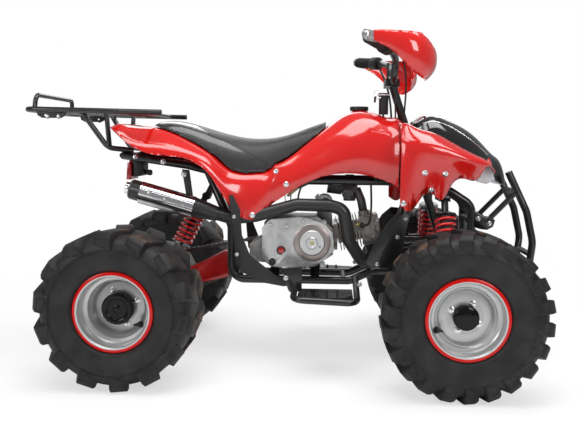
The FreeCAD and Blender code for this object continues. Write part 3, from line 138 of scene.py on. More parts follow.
def moved(obj, move):
    obj.matrix_world = move
    return settle(obj)


def paint(obj, material):
    obj.data.materials.clear()
    obj.data.materials.append(material)
    return obj


def joined(name, objs):
    deselect()
    for obj in objs:
        obj.select_set(True)
    bpy.context.view_layer.objects.active = objs[0]
    bpy.ops.object.join()
    objs[0].name = name
    return objs[0]


def turnOf(direction):
    return Vector(direction).normalized().to_track_quat("Z", "Y").to_euler()


def finished(obj, name, material, body, degrees):
    obj.name = name
    settle(obj)
    paint(obj, material)
    smooth(obj, degrees)
    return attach(obj, body)


# a turned piece: (radius, height) steps spun about a line; a ring has its two ends bridged through its bore
turnFacts = {"tip": 0.000015, "merge": 0.00004}


def turned(steps, foot, direction, sides, ring=False):
    deselect()
    tip = turnFacts["tip"]
    bpy.ops.mesh.primitive_circle_add(vertices=sides, radius=max(steps[0][0], tip), fill_type="NOTHING")
    obj = bpy.context.object
    edit(obj, "VERT")
    bpy.ops.mesh.select_all(action="SELECT")
    bpy.ops.transform.translate(value=(0, 0, steps[0][1]))
    if not ring:
        bpy.ops.mesh.edge_face_add()
    for before, after in zip(steps, steps[1:]):
        bpy.ops.mesh.extrude_region_move()
        ratio = max(after[0], tip) / max(before[0], tip)
        bpy.ops.transform.resize(value=(ratio, ratio, 1), center_override=(0, 0, before[1]))
        bpy.ops.transform.translate(value=(0, 0, after[1] - before[1]))
    if ring:
        bpy.ops.mesh.select_mode(type="EDGE")
        bpy.ops.mesh.select_all(action="DESELECT")
        bpy.ops.mesh.select_non_manifold()
        bpy.ops.mesh.bridge_edge_loops()
    cleaned(obj, turnFacts["merge"])
    return moved(obj, Matrix.LocRotScale(Vector(foot), turnOf(direction), None))


# a flat outline pushed to a thickness: across and up are the directions of its two numbers
def slab(outline, thickness, foot, across=(1, 0, 0), up=(0, 0, 1), edge=0.0):
    deselect()
    bpy.ops.mesh.primitive_circle_add(vertices=len(outline), radius=1, fill_type="NOTHING")
    obj = bpy.context.object
    for vertex, (x, y) in zip(obj.data.vertices, outline):
        vertex.co = (x, y, 0)
    edit(obj, "VERT")
    bpy.ops.mesh.select_all(action="SELECT")
    bpy.ops.mesh.edge_face_add()
    bpy.ops.mesh.extrude_region_move(TRANSFORM_OT_translate={"value": (0, 0, thickness)})
    cleaned(obj)
    across, up = Vector(across), Vector(up)
    turn = Matrix((across, up, across.cross(up))).transposed().to_4x4()
    moved(obj, Matrix.Translation(foot) @ turn)
    return rounded(obj, edge) if edge else obj


# an outline in side view, from millimetre places, thick towards the bike's right side
def sideSlab(outline, y, thickness, edge):
    points = [(at(x, 0, z).x, z / 1000) for x, z in outline]
    return slab(points, thickness / 1000, (0, y / 1000, 0), edge=edge)


def copyOf(obj, move):
    twin = obj.copy()
    twin.data = obj.data.copy()
    bpy.context.scene.collection.objects.link(twin)
    return moved(twin, move)


def mirrored(obj):
    twin = copyOf(obj, Matrix.Diagonal((1, -1, 1, 1)))
    edit(twin)
    return cleaned(twin)


# fittings and their twins on the left side
def bothSides(objs):
    return objs + [mirrored(obj) for obj in objs]


# button-head screw with a hollow socket on a washer: shares of its radius, the washer's heights in metres
buttonFacts = {
    "washer": [(1.3, -0.0006), (1.3, 0.0006), (1.22, 0.0012), (1, 0.0013)],
    "head": [(0.97, 0.42), (0.80, 0.60), (0.50, 0.66), (0.42, 0.62), (0.40, 0.25), (0, 0.22)],
    "sides": 28,
}


def buttonBolt(place, direction, radius):
    washer = [(share * radius, height) for share, height in buttonFacts["washer"]]
    head = [(share * radius, height * radius) for share, height in buttonFacts["head"]]
    return turned(washer + head, place, direction, buttonFacts["sides"])


# domed nut on a washer with its stud, as on the wheel discs: shares of its size, heights in metres
domeFacts = {
    "height": 0.009, "lift": 0.0012, "edge": 0.16,
    "washer": [(1.25, 0), (1.25, 0.0008), (1.25 * 0.94, 0.0014)], "washerSides": 24,
    "stud": [(0.55, 0.009), (0.55, 0.0145), (0.42, 0.0165), (0, 0.017)], "studSides": 20,
}


def wheelNut(place, size):
    washer = [(share * size, height) for share, height in domeFacts["washer"]]
    stud = [(share * size, height) for share, height in domeFacts["stud"]]
    plate = turned(washer, place, out, domeFacts["washerSides"])
    deselect()
    bpy.ops.mesh.primitive_cylinder_add(
        vertices=6, radius=size, depth=domeFacts["height"],
        location=Vector(place) + out * (domeFacts["lift"] + domeFacts["height"] / 2), rotation=turnOf(out))
    head = rounded(settle(bpy.context.object), size * domeFacts["edge"])
    return joined("nut", [head, plate, turned(stud, place, out, domeFacts["studSides"])])


def newCurve(name, kind, count, resolution):
    curve = bpy.data.curves.new(name, "CURVE")
    curve.dimensions = "3D"
    curve.resolution_u = resolution
    curve.use_fill_caps = True
    spline = curve.splines.new(kind)
    (spline.bezier_points if kind == "BEZIER" else spline.points).add(count - 1)
    obj = bpy.data.objects.new(name, curve)
    bpy.context.scene.collection.objects.link(obj)
    return obj, curve, spline


# a thin tube along a smooth line, as a mesh
def tubeAlong(points, radius):
    obj, curve, spline = newCurve("tube", "BEZIER", len(points), 8)
    curve.bevel_depth = radius
    curve.bevel_resolution = 2
    for knot, place in zip(spline.bezier_points, points):
        knot.co = place
        knot.handle_left_type = knot.handle_right_type = "AUTO"
    choose(obj)
    bpy.ops.object.convert(target="MESH")
    return bpy.context.object


# copy of a CAD node with its loose triangles merged and its flat faces cleared, ready to be finished
castFacts = {"merge": 0.00001, "flatDegrees": 0.4}


def castOf(node, name):
    obj = frame["nodes"][node].copy()
    obj.data = obj.data.copy()
    obj.parent = None
    obj.name = name
    for key in list(obj.keys()):
        del obj[key]
    bpy.context.scene.collection.objects.link(obj)
    edit(obj, "VERT")
    bpy.ops.mesh.select_all(action="SELECT")
    bpy.ops.mesh.remove_doubles(threshold=castFacts["merge"])
    bpy.ops.mesh.dissolve_limited(angle_limit=math.radians(castFacts["flatDegrees"]))
    leaveEdit()
    return obj


def dressed(node, material, degrees, edge):
    obj = castOf(node, node + "Dressed")
    if edge:
        rounded(obj, edge)
    paint(obj, material)
    smooth(obj, degrees)
    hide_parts(node)
    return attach(obj, bodyOf[node])


# shader sums
class Wire:
    def __init__(self, finish, socket):
        self.finish, self.socket = finish, socket

    def __add__(self, other):
        return self.finish.sum("ADD", self, other)

    def __sub__(self, other):
        return self.finish.sum("SUBTRACT", self, other)

    def __rsub__(self, other):
        return self.finish.sum("SUBTRACT", other, self)

    def __mul__(self, other):
        return self.finish.sum("MULTIPLY", self, other)

    def __pow__(self, other):
        return self.finish.sum("POWER", self, other)

    __radd__ = __add__
    __rmul__ = __mul__


class Finish:
    def __init__(self, name, color, **sockets):
        self.material = bpy.data.materials.new(name)
        self.material.use_nodes = True
        self.tree = self.material.node_tree
        self.surface = self.tree.nodes["Principled BSDF"]
        self.set("Base Color", color)
        for key, value in sockets.items():
            self.set(key.replace("_", " ").title().replace("Ior", "IOR"), value)
        self.places = self.node("TexCoord", {}, {}, "Object")

    def set(self, socket, value):
        self.link(self.surface.inputs[socket], value)

    def link(self, socket, value):
        if isinstance(value, Wire):
            self.tree.links.new(value.socket, socket)
        elif isinstance(value, (tuple, list)) and len(value) == 3 and socket.type == "RGBA":
            socket.default_value = (*value, 1)
        else:
            socket.default_value = value

    def node(self, kind, settings, links, output=0):
        node = self.tree.nodes.new("ShaderNode" + kind)
        for key, value in settings.items():
            setattr(node, key, value)
        for key, value in links.items():
            self.link(node.inputs[key], value)
        return Wire(self, node.outputs[output])

    def sum(self, operation, *values):
        return self.node("Math", {"operation": operation}, dict(enumerate(values)))

    def noise(self, scale, detail, roughness=0.5):
        return self.node("TexNoise", {}, {"Scale": scale, "Detail": detail, "Roughness": roughness,
                                          "Vector": self.places})

    def step(self, value, low, high, bottom=0.0, top=1.0):
        settings = {"clamp": True, "interpolation_type": "SMOOTHSTEP"}
        return self.node("MapRange", settings, {"Value": value, "From Min": low, "From Max": high,
                                                "To Min": bottom, "To Max": top})

    def mix(self, factor, a, b):
        return self.node("Mix", {"data_type": "RGBA"}, {0: factor, 6: a, 7: b}, 2)

    # roughness that a noise varies, from a finish's facts
    def dulled(self, facts):
        return facts["rough"] + self.noise(*facts["dulling"]) * facts["dullness"]

    def bump(self, height, depth):
        self.set("Normal", self.node("Bump", {}, {"Height": height, "Distance": depth, "Strength": 1.0}))
        return self

    def split(self):
        return [self.node("SeparateXYZ", {}, {"Vector": self.places}, i) for i in range(3)]

    def radius(self, centre):
        x, _, z = self.split()
        return self.sum("SQRT", (x - centre.x) ** 2.0 + (z - centre.z) ** 2.0)


# kinds of plain finish: how its two colours mix, its roughness and grain; a noise is a scale and a detail
finishKinds = {
    "gloss": {"coat_roughness": 0.03, "coat_weight": 0.7, "specular_ior_level": 0.5, "ior": 1.5,
              "patches": (9, 3), "patchShare": 0.8,
              "rough": 0.13, "dulling": (26, 4), "dullness": 0.07, "grain": (420, 2), "depth": 0.00006},
    "enamel": {"coat_roughness": 0.08, "coat_weight": 0.35,
               "patches": (38, 5), "patchStep": (0.52, 0.75), "patchShare": 0.5,
               "rough": 0.2, "dulling": (60, 4), "dullness": 0.16, "grain": (260, 3), "depth": 0.00008},
    "moulded": {"patches": (22, 4), "patchShare": 0.7,
                "rough": 0.42, "dulling": (50, 3), "dullness": 0.14, "grain": (900, 2), "depth": 0.00012},
    "cast": {"metallic": 0.85, "patches": (30, 5), "patchStep": (0.4, 0.72), "patchShare": 1.0,
             "rough": 0.36, "dulling": (90, 4), "dullness": 0.22, "grain": (520, 4), "depth": 0.00014},
    "bright": {"metallic": 1.0,
               "rough": 0.14, "dulling": (70, 3), "dullness": 0.12, "grain": (600, 2), "depth": 0.00003},
    "rubber": {"patches": (40, 4), "patchShare": 0.8,
               "rough": 0.6, "dulling": (90, 3), "dullness": 0.2, "grain": (500, 3), "depth": 0.0002},
}
plainSockets = ("metallic", "coat_weight", "coat_roughness", "specular_ior_level", "ior")


def plainFinish(name, kind, color, second, changes):
    facts = {**finishKinds[kind], **changes}
    f = Finish(name, color, **{key: facts[key] for key in plainSockets if key in facts})
    if second:
        patch = f.noise(*facts["patches"])
        if "patchStep" in facts:
            patch = f.step(patch, *facts["patchStep"])
        f.set("Base Color", f.mix(patch * facts["patchShare"], color, second))
    f.set("Roughness", f.dulled(facts))
    return f.bump(f.noise(*facts["grain"]), facts["depth"]).material


# clear lens with fine upright flutes
lensFacts = {"color": (0.86, 0.89, 0.92), "clear": 0.55, "ior": 1.46, "coat": 0.5, "rough": 0.05,
             "dulling": (40, 3), "dullness": 0.06, "flutes": 1400.0, "depth": 0.0004}


def clearLens(name):
    facts = lensFacts
    f = Finish(name, facts["color"], transmission_weight=facts["clear"], ior=facts["ior"],
               coat_weight=facts["coat"], coat_roughness=0.03)
    f.set("Roughness", f.dulled(facts))
    return f.bump(f.sum("SINE", f.split()[1] * facts["flutes"]), facts["depth"]).material


# tyre rubber: dusty tread edges with dried mud, fine rings on the sidewall; depths below the tread
rubberFacts = {
    "black": (0.0085, 0.008, 0.0085), "worn": (0.019, 0.018, 0.018), "wear": (20, 4), "wearStep": (0.35, 0.7),
    "mud": (0.105, 0.055, 0.030), "paleMud": (0.20, 0.125, 0.075), "mudMottle": (110, 3),
    "edgeNoise": (34, 5, 0.62), "edgeSpread": 0.010, "edgeShare": 0.6, "edgeBand": 0.004,
    "patches": (11, 4, 0.6), "patchStep": (0.52, 0.66), "crumbs": (75, 3), "crumbStep": (0.46, 0.62),
    "thinMud": 0.35, "shine": 0.32, "rough": 0.46, "dulling": (55, 4), "dullness": 0.20, "mudDullness": 0.3,
    "rings": 2600.0, "ringsFrom": 0.066, "ringsTo": 0.060, "ringHeight": 0.12, "mudHeight": 1.2,
    "grain": (330, 4), "depth": 0.0003,
}


def tyreRubber(name, centre, outerRadius, lugDepth):
    facts = rubberFacts
    f = Finish(name, facts["black"], specular_ior_level=facts["shine"])
    reach = f.radius(centre)
    lugFoot = outerRadius - lugDepth * facts["edgeShare"]
    onTread = f.step(reach + f.noise(*facts["edgeNoise"]) * facts["edgeSpread"],
                     lugFoot + facts["edgeBand"], outerRadius + facts["edgeBand"])
    patchy = f.step(f.noise(*facts["patches"]), *facts["patchStep"])
    crumbs = f.step(f.noise(*facts["crumbs"]), *facts["crumbStep"])
    muddy = onTread * patchy * (facts["thinMud"] + crumbs * (1 - facts["thinMud"]))
    rubber = f.mix(f.step(f.noise(*facts["wear"]), *facts["wearStep"]), facts["black"], facts["worn"])
    mud = f.mix(f.noise(*facts["mudMottle"]), facts["mud"], facts["paleMud"])
    f.set("Base Color", f.mix(muddy, rubber, mud))
    f.set("Roughness", f.dulled(facts) + muddy * facts["mudDullness"])
    onWall = f.step(reach, outerRadius - facts["ringsFrom"], outerRadius - facts["ringsTo"], 1.0, 0.0)
    rings = f.sum("SINE", reach * facts["rings"]) * onWall
    height = f.noise(*facts["grain"]) + rings * facts["ringHeight"] + muddy * facts["mudHeight"]
    return f.bump(height, facts["depth"]).material


# painted steel rim: brushed silver, with a dull red outer lip
rimPaintFacts = {
    "silver": (0.53, 0.53, 0.525), "shade": (0.42, 0.42, 0.42), "red": (0.56, 0.004, 0.002),
    "shadeShare": 0.6, "lipBlur": 0.0004, "lipDepth": 0.0075, "lipDepthBlur": 0.0005,
    "strokes": (30.0, 400.0, 30.0), "shine": 0.3, "metal": 0.62, "coat": 0.25, "coatRough": 0.1,
    "rough": 0.27, "dullness": 0.12, "lipGloss": 0.14, "grain": (420, 3), "depth": 0.00004,
}


def rimPaint(name, centre, lipRadius, outerY):
    facts = rimPaintFacts
    f = Finish(name, facts["silver"], coat_roughness=facts["coatRough"], specular_ior_level=facts["shine"])
    side = f.sum("ABSOLUTE", f.split()[1])
    lipInner = outerY - facts["lipDepth"]
    lip = f.step(f.radius(centre), lipRadius - facts["lipBlur"], lipRadius + facts["lipBlur"])
    lip = lip * f.step(side, lipInner, lipInner + facts["lipDepthBlur"])
    stretched = f.node("Mapping", {}, {"Vector": f.places, "Scale": facts["strokes"]})
    brushed = f.node("TexNoise", {}, {"Scale": 1.0, "Detail": 3, "Vector": stretched})
    bare = f.mix(brushed * facts["shadeShare"], facts["silver"], facts["shade"])
    f.set("Base Color", f.mix(lip, bare, facts["red"]))
    f.set("Metallic", facts["metal"] - lip * facts["metal"])
    f.set("Coat Weight", facts["coat"] - lip * facts["coat"])
    f.set("Roughness", facts["rough"] + brushed * facts["dullness"] - lip * facts["lipGloss"])
    return f.bump(f.noise(*facts["grain"]), facts["depth"]).material


# seat cover: a glossy rear side below the seam's line, a duller top ahead of it
vinylFacts = {
    "black": (0.0075, 0.0075, 0.008), "worn": (0.014, 0.014, 0.015), "dull": (0.016, 0.0155, 0.0155),
    "wear": (14, 4), "seamBlur": 0.0008, "rough": 0.16, "dulling": (30, 5), "dullness": 0.12,
    "aheadDullness": 0.26, "coat": 0.65, "coatLost": 0.62, "coatRough": 0.08, "pores": 520.0,
    "poreStep": (0.0, 0.22), "poreHeight": 0.5, "folds": (24, 3), "foldHeight": 4.0, "depth": 0.00030,
}


def seatVinyl(name, seamA, seamB):
    facts = vinylFacts
    f = Finish(name, facts["black"], coat_roughness=facts["coatRough"])
    x, _, z = f.split()
    along = (seamB - seamA).normalized()
    aheadOfSeam = (x - seamA.x) * -along.z + (z - seamA.z) * along.x
    ahead = f.step(aheadOfSeam, -facts["seamBlur"], facts["seamBlur"])
    pores = f.node("TexVoronoi", {"feature": "DISTANCE_TO_EDGE"},
                   {"Scale": facts["pores"], "Vector": f.places})
    top = f.mix(f.noise(*facts["wear"]), facts["black"], facts["worn"])
    f.set("Base Color", f.mix(ahead, top, facts["dull"]))
    f.set("Roughness", f.dulled(facts) + ahead * facts["aheadDullness"])
    f.set("Coat Weight", facts["coat"] - ahead * facts["coatLost"])
    poreHeight = f.step(pores, *facts["poreStep"]) * facts["poreHeight"]
    return f.bump(poreHeight + f.noise(*facts["folds"]) * facts["foldHeight"], facts["depth"]).material


# machined alloy: fine turned rings about a centre
turnedAlloyFacts = {"metal": 0.9, "rings": 5200.0, "ringShare": 0.5, "stains": (20, 3), "stainShare": 0.4,
                    "rough": 0.26, "dulling": (70, 3), "dullness": 0.14, "depth": 0.00005}


def turnedAlloy(name, centre, pale, dark):
    facts = turnedAlloyFacts
    f = Finish(name, pale, metallic=facts["metal"])
    rings = f.sum("SINE", f.radius(centre) * facts["rings"]) * 0.5 + 0.5
    stains = f.noise(*facts["stains"]) * facts["stainShare"]
    f.set("Base Color", f.mix(rings * facts["ringShare"] + stains, pale, dark))
    f.set("Roughness", f.dulled(facts))
    return f.bump(rings, facts["depth"]).material


# kind, colour, second colour and what differs from the kind
paintFacts = {
    "bodyRed": ("gloss", (0.62, 0.010, 0.007), (0.54, 0.006, 0.005), {"rough": 0.12}),
    "noseBlack": ("gloss", (0.004, 0.004, 0.0045), (0.007, 0.007, 0.008), {"rough": 0.06}),
    "frameBlack": ("enamel", (0.0045, 0.0045, 0.005), (0.012, 0.0115, 0.011), {"rough": 0.24}),
    "springRed": ("enamel", (0.62, 0.008, 0.008), (0.50, 0.012, 0.012), {"rough": 0.16}),
    "armRed": ("enamel", (0.46, 0.006, 0.006), (0.28, 0.008, 0.008), {"rough": 0.26}),
    "exhaustBlack": ("enamel", (0.006, 0.006, 0.006), (0.014, 0.013, 0.012), {"rough": 0.5}),
    "engineAlloy": ("cast", (0.34, 0.33, 0.32), (0.14, 0.13, 0.125), {"rough": 0.42}),
    "finAlloy": ("cast", (0.50, 0.47, 0.44), (0.24, 0.22, 0.20), {"rough": 0.45}),
    "coverAlloy": ("cast", (0.60, 0.60, 0.60), (0.46, 0.46, 0.46), {"rough": 0.30, "depth": 0.00007}),
    "darkAlloy": ("cast", (0.16, 0.155, 0.15), (0.06, 0.06, 0.06), {"rough": 0.4}),
    "chrome": ("bright", (0.74, 0.74, 0.75), None, {"rough": 0.08}),
    "boltSteel": ("bright", (0.60, 0.60, 0.59), None, {"rough": 0.20}),
    "bracketAlloy": ("cast", (0.33, 0.32, 0.31), (0.27, 0.26, 0.25), {"rough": 0.5, "depth": 0.00004}),
    "chainSteel": ("bright", (0.14, 0.13, 0.12), None, {"rough": 0.34}),
    "axleSteel": ("bright", (0.26, 0.26, 0.26), None, {"rough": 0.30}),
    "brass": ("bright", (0.62, 0.50, 0.12), None, {"rough": 0.25}),
    "blackPlastic": ("moulded", (0.007, 0.007, 0.0075), (0.014, 0.014, 0.0145), {}),
    "yellowPlastic": ("moulded", (0.80, 0.52, 0.02), (0.70, 0.42, 0.02), {"rough": 0.3}),
    "whitePlastic": ("moulded", (0.60, 0.60, 0.58), (0.48, 0.48, 0.46), {"rough": 0.4}),
    "tanPlastic": ("moulded", (0.34, 0.26, 0.14), (0.24, 0.18, 0.10), {"rough": 0.4}),
    "redLens": ("gloss", (0.42, 0.004, 0.005), (0.30, 0.003, 0.004), {"rough": 0.05}),
    "redWire": ("gloss", (0.50, 0.008, 0.008), (0.40, 0.006, 0.006), {"rough": 0.3}),
    "gripRubber": ("rubber", (0.007, 0.007, 0.007), (0.013, 0.013, 0.013), {}),
    "hoseRubber": ("rubber", (0.008, 0.008, 0.008), (0.016, 0.0155, 0.015), {"rough": 0.36, "depth": 0.0001}),
    "capBlack": ("gloss", (0.003, 0.003, 0.003), (0.006, 0.006, 0.006),
                 {"rough": 0.05, "coat_weight": 0.1, "specular_ior_level": 0.16}),
}
paints = {name: plainFinish(name, *facts) for name, facts in paintFacts.items()}
paints["clearLens"] = clearLens("clearLens")
print("materials made:", len(paints))


# a piece of its own that rides on a body
def fitted(obj, name, finish, body="chassis", degrees=35):
    return finished(obj, name, paints[finish], body, degrees)


# the photograph's camera: metres, millimetres of lens and sensor, radians
cameraFacts = {"place": (0.1453, -2.3767, 0.7000), "lens": 44.6, "sensor": 36.0, "yaw": -0.0542,
               "pitch": -0.1001, "roll": 0.0078}


def addCamera():
    data = bpy.data.cameras.new("photoCamera")
    data.lens = cameraFacts["lens"]
    data.sensor_width = cameraFacts["sensor"]
    camera = bpy.data.objects.new("photoCamera", data)
    yaw, pitch, roll = cameraFacts["yaw"], cameraFacts["pitch"], cameraFacts["roll"]
    ahead = Vector((math.sin(yaw) * math.cos(pitch), math.cos(yaw) * math.cos(pitch), math.sin(pitch)))
    right = Vector((math.cos(yaw), -math.sin(yaw), 0))
    up = right.cross(ahead)
    rolledRight = right * math.cos(roll) + up * math.sin(roll)
    rolledUp = up * math.cos(roll) - right * math.sin(roll)
    turn = Matrix((rolledRight, rolledUp, -ahead)).transposed().to_4x4()
    camera.matrix_world = Matrix.Translation(cameraFacts["place"]) @ turn
    bpy.context.scene.collection.objects.link(camera)
    bpy.context.scene.camera = camera


addCamera()

# tyres: a round body with moulded rings, and slanted blocks with a stepped shoulder
tyreFacts = {
    "lugDepth": 0.010, "bead": 0.1024, "lip": 0.1168, "sides": 120, "firstBlock": 180,
    "front": {"outer": 0.2335, "half": 0.0855, "seat": 0.0686, "lugs": 22, "lugWidth": 0.040, "slant": 16},
    "rear": {"outer": 0.2290, "half": 0.1155, "seat": 0.0916, "lugs": 14, "lugWidth": 0.056, "slant": 18},
}
# shares of the height from lip to crown, and of the half width
sidewallShares = [
    (0.01, 0.83), (0.05, 0.875), (0.075, 0.905), (0.11, 0.91), (0.125, 0.915), (0.20, 0.95), (0.31, 0.982),
    (0.42, 0.998), (0.52, 1.0), (0.552, 0.998), (0.560, 1.009), (0.580, 1.009), (0.588, 0.994),
    (0.612, 0.990), (0.619, 1.000), (0.634, 0.999), (0.641, 0.984), (0.72, 0.958), (0.80, 0.915),
    (0.87, 0.85), (0.93, 0.755), (0.97, 0.64), (0.99, 0.50), (1.0, 0.30), (1.003, 0.10)]
# a block's outline: shares of the half width, of the lug's depth outwards and down; its taper and side pocket
blockFacts = {
    "outline": [(0.05, 0, 2.2), (0.05, 0, 0), (0.60, 0, 0), (0.84, 0, 0.08), (0.97, 0, 0.75), (1, 0.33, 1.6),
                (1, 0.33, 3.4), (0.985, 0, 4.9), (0.80, 0, 4.6)],
    "taper": 0.86, "topFacing": 0.7, "pocketFacing": 0.8, "pocketBelow": 2, "pocket": (0.0048, -0.0028),
    "pad": (0.0026, 0.0020), "edge": 0.0013, "edgeDegrees": 30, "pivot": 0.40,
}


def tyreBody(facts):
    crown = facts["outer"] - tyreFacts["lugDepth"]
    height = crown - tyreFacts["lip"]
    half = [(tyreFacts["bead"], facts["seat"]), (tyreFacts["lip"], facts["seat"])]
    half += [(tyreFacts["lip"] + rise * height, wide * facts["half"]) for rise, wide in sidewallShares]
    steps = half + [(radius, -wide) for radius, wide in reversed(half)]
    return turned(steps, (0, 0, 0), (0, 1, 0), tyreFacts["sides"], ring=True)


def treadBlock(facts):
    half, outer, deep, width = facts["half"], facts["outer"], tyreFacts["lugDepth"], facts["lugWidth"]
    outline = [(wide * half + past * deep, outer - down * deep) for wide, past, down in blockFacts["outline"]]
    block = slab(outline, width, (-width / 2, 0, 0), (0, 1, 0), (0, 0, 1))
    selectFaces(block, lambda face: face.normal.z > blockFacts["topFacing"])
    bpy.ops.transform.resize(value=(blockFacts["taper"], 1, 1), center_override=(0, 0, outer))
    leaveEdit()
    pocketTop = outer - blockFacts["pocketBelow"] * deep
    selectFaces(block, lambda face: face.normal.y > blockFacts["pocketFacing"] and face.center.z < pocketTop)
    for thickness, depth in (blockFacts["pocket"], blockFacts["pad"]):
        bpy.ops.mesh.inset(thickness=thickness, depth=depth)
    leaveEdit()
    rounded(block, blockFacts["edge"], blockFacts["edgeDegrees"])
    turn = Matrix.Rotation(math.radians(facts["slant"]), 4, "Z")
    middle = Vector((0, blockFacts["pivot"] * half, 0))
    return moved(block, Matrix.Translation(middle) @ turn @ Matrix.Translation(-middle))


def wholeTyre(facts):
    rows = bothSides([treadBlock(facts)])
    turns = [math.radians(tyreFacts["firstBlock"] + i * 360 / facts["lugs"]) for i in range(facts["lugs"])]
    blocks = [copyOf(row, Matrix.Rotation(turn, 4, "Y")) for turn in turns for row in rows]
    for row in rows:
        bpy.data.objects.remove(row)
    return joined("tyre", [tyreBody(facts)] + blocks)


# rims: pressed steel with a rolled lip; radius and depth from the lip's face
rimFacts = {"lip": 0.116, "bead": 0.102, "wall": 0.003, "flange": 0.006, "waist": 0.0857, "disc": 0.004,
            "bore": 0.031, "sides": 112, "redFrom": 0.0046,
            "front": {"width": 0.150, "dish": 0.0515}, "rear": {"width": 0.196, "dish": 0.085}}


def wholeRim(facts, foot):
    lip, bead, wall, flange = (rimFacts[key] for key in ("lip", "bead", "wall", "flange"))
    waist, disc, width, dish = rimFacts["waist"], rimFacts["disc"], facts["width"], facts["dish"]
    inner, well, bore = waist - wall, bead - wall, rimFacts["bore"]
    outerFlange = [(bead + 0.0010, 0.0003), (bead + 0.0035, 0), (lip - 0.0045, 0.0008),
                   (lip - 0.0012, 0.0022), (lip, 0.0040), (lip, flange), (bead + 0.002, flange + 0.0003),
                   (bead, flange + 0.002)]
    barrel = [(bead, 0.24 * width), (waist, 0.32 * width), (waist, 0.70 * width), (bead, 0.78 * width),
              (bead, width - flange), (lip, width - flange), (lip, width), (well, width),
              (well, 0.80 * width), (inner, 0.72 * width)]
    dishSteps = [(inner, dish + 3 * disc), (0.0775, dish + disc), (bore, dish + disc), (bore, dish),
                 (0.0480, dish), (0.0486, dish - 0.0012), (0.0700, dish - 0.0012), (0.0716, dish - 0.0006),
                 (0.0740, dish - 0.0030), (0.0787, dish - 0.0080), (0.0806, dish - 0.0105)]
    bowlSteps = [(inner, 0.30 * width - disc), (inner + 0.0040, 0.27 * width - disc),
                 (well - 0.0035, 0.235 * width), (well, 0.215 * width), (well, 0.012),
                 (well + 0.0006, 0.0060), (well + 0.0020, 0.0022)]
    return turned(outerFlange + barrel + dishSteps + bowlSteps, foot, (0, 1, 0), rimFacts["sides"], ring=True)


# small wheel pieces of a right-hand wheel: nuts, cap and valve
hubFacts = {
    "front": {"node": "front_hub_right", "rim": "front_rim_right", "firstNut": 63, "nut": 0.0085,
              "nutCircle": 0.0418, "valveRadius": 0.0870, "valveAngle": 204, "valveDepth": 0.036,
              "cap": [(0.0353, -0.019), (0.0353, -0.004), (0.0345, -0.0012), (0.0320, 0.0012),
                      (0.0260, 0.0032), (0.0150, 0.0046), (0.0060, 0.0052), (0, 0.0053)]},
    "rear": {"node": "rear_axle", "rim": "rear_rims", "firstNut": 22.5, "nut": 0.0075, "nutCircle": 0.0530,
             "valveRadius": 0.0800, "valveAngle": -33, "valveDepth": 0.050,
             "cap": [(0.0458, -0.020), (0.0458, 0.0020), (0.0447, 0.0050), (0.0420, 0.0066), (0.0360, 0.0066),
                     (0.0310, 0.0050), (0.0282, 0.0014), (0.0130, 0.0008), (0.0105, 0.0028), (0.0050, 0.0040),
                     (0, 0.0042)]},
    "nuts": 4, "nutSink": 0.0002, "capSides": 64, "valveSides": 20, "valveLean": (0.9, 0.35),
    "valve": [(0.0095, -0.004), (0.0095, 0.002), (0.0082, 0.004), (0.0060, 0.008), (0.0052, 0.016),
              (0.0044, 0.022), (0.0036, 0.0225), (0.0036, 0.031), (0.0030, 0.0325), (0, 0.033)],
}


def rimPoint(hub, radius, degrees, y):
    turn = math.radians(degrees)
    return Vector((hub.x + radius * math.cos(turn), y, hub.z + radius * math.sin(turn)))


def wheelNuts(facts, hub, y):
    turns = [facts["firstNut"] + 360 / hubFacts["nuts"] * i for i in range(hubFacts["nuts"])]
    places = [rimPoint(hub, facts["nutCircle"], turn, y) for turn in turns]
    return joined("nuts", [wheelNut(place, facts["nut"]) for place in places])


def valve(facts, hub, lipY):
    foot = rimPoint(hub, facts["valveRadius"], facts["valveAngle"], lipY + facts["valveDepth"])
    inwards = (rimPoint(hub, 0, 0, foot.y) - foot).normalized()
    leanOut, leanIn = hubFacts["valveLean"]
    return turned(hubFacts["valve"], foot, out * leanOut + inwards * leanIn, hubFacts["valveSides"])


for end in ("front", "rear"):
    facts = hubFacts[end]
    low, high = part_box(facts["rim"])
    hub = (low + high) / 2
    width, dish = rimFacts[end]["width"], rimFacts[end]["dish"]
    tyre = moved(wholeTyre(tyreFacts[end]), Matrix.Translation((hub.x, low.y + width / 2, hub.z)))
    rim = wholeRim(rimFacts[end], (hub.x, low.y, hub.z))
    nuts = wheelNuts(facts, hub, low.y + dish - hubFacts["nutSink"])
    cap = turned(facts["cap"], (hub.x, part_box(facts["node"])[0].y, hub.z), out, hubFacts["capSides"])
    stem = valve(facts, hub, low.y)
    rubber = tyreRubber(end + "Rubber", hub, tyreFacts[end]["outer"], tyreFacts["lugDepth"])
    silver = rimPaint(end + "RimPaint", hub, rimFacts["bead"] + rimFacts["redFrom"], abs(low.y))
    # name of a front piece, name of the rear pair, CAD node's word, piece, finish, smoothing angle
    pieces = [("Tyre", "Tyres", "tyre", tyre, rubber, 38), ("Rim", "Rims", "rim", rim, silver, 30),
              ("Nuts", "Nuts", None, nuts, paints["chrome"], 32),
              ("HubCap", "HubCaps", None, cap, paints["capBlack"], 40),
              ("Valve", "Valves", None, stem, paints["hoseRubber"], 40)]
    for single, pair, word, right, finish, degrees in pieces:
        sides = bothSides([right])
        if end == "rear":
            both = finished(joined("rearPair", sides), "rear" + pair, finish, "rear_wheels", degrees)
            if word:
                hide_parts("rear_" + word + "s")
        else:
            for side, obj in zip(("right", "left"), sides):
                finished(obj, "front" + single + side.title(), finish, "front_wheel_" + side, degrees)
                if word:
                    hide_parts("front_" + word + "_" + side)
print("wheels made")


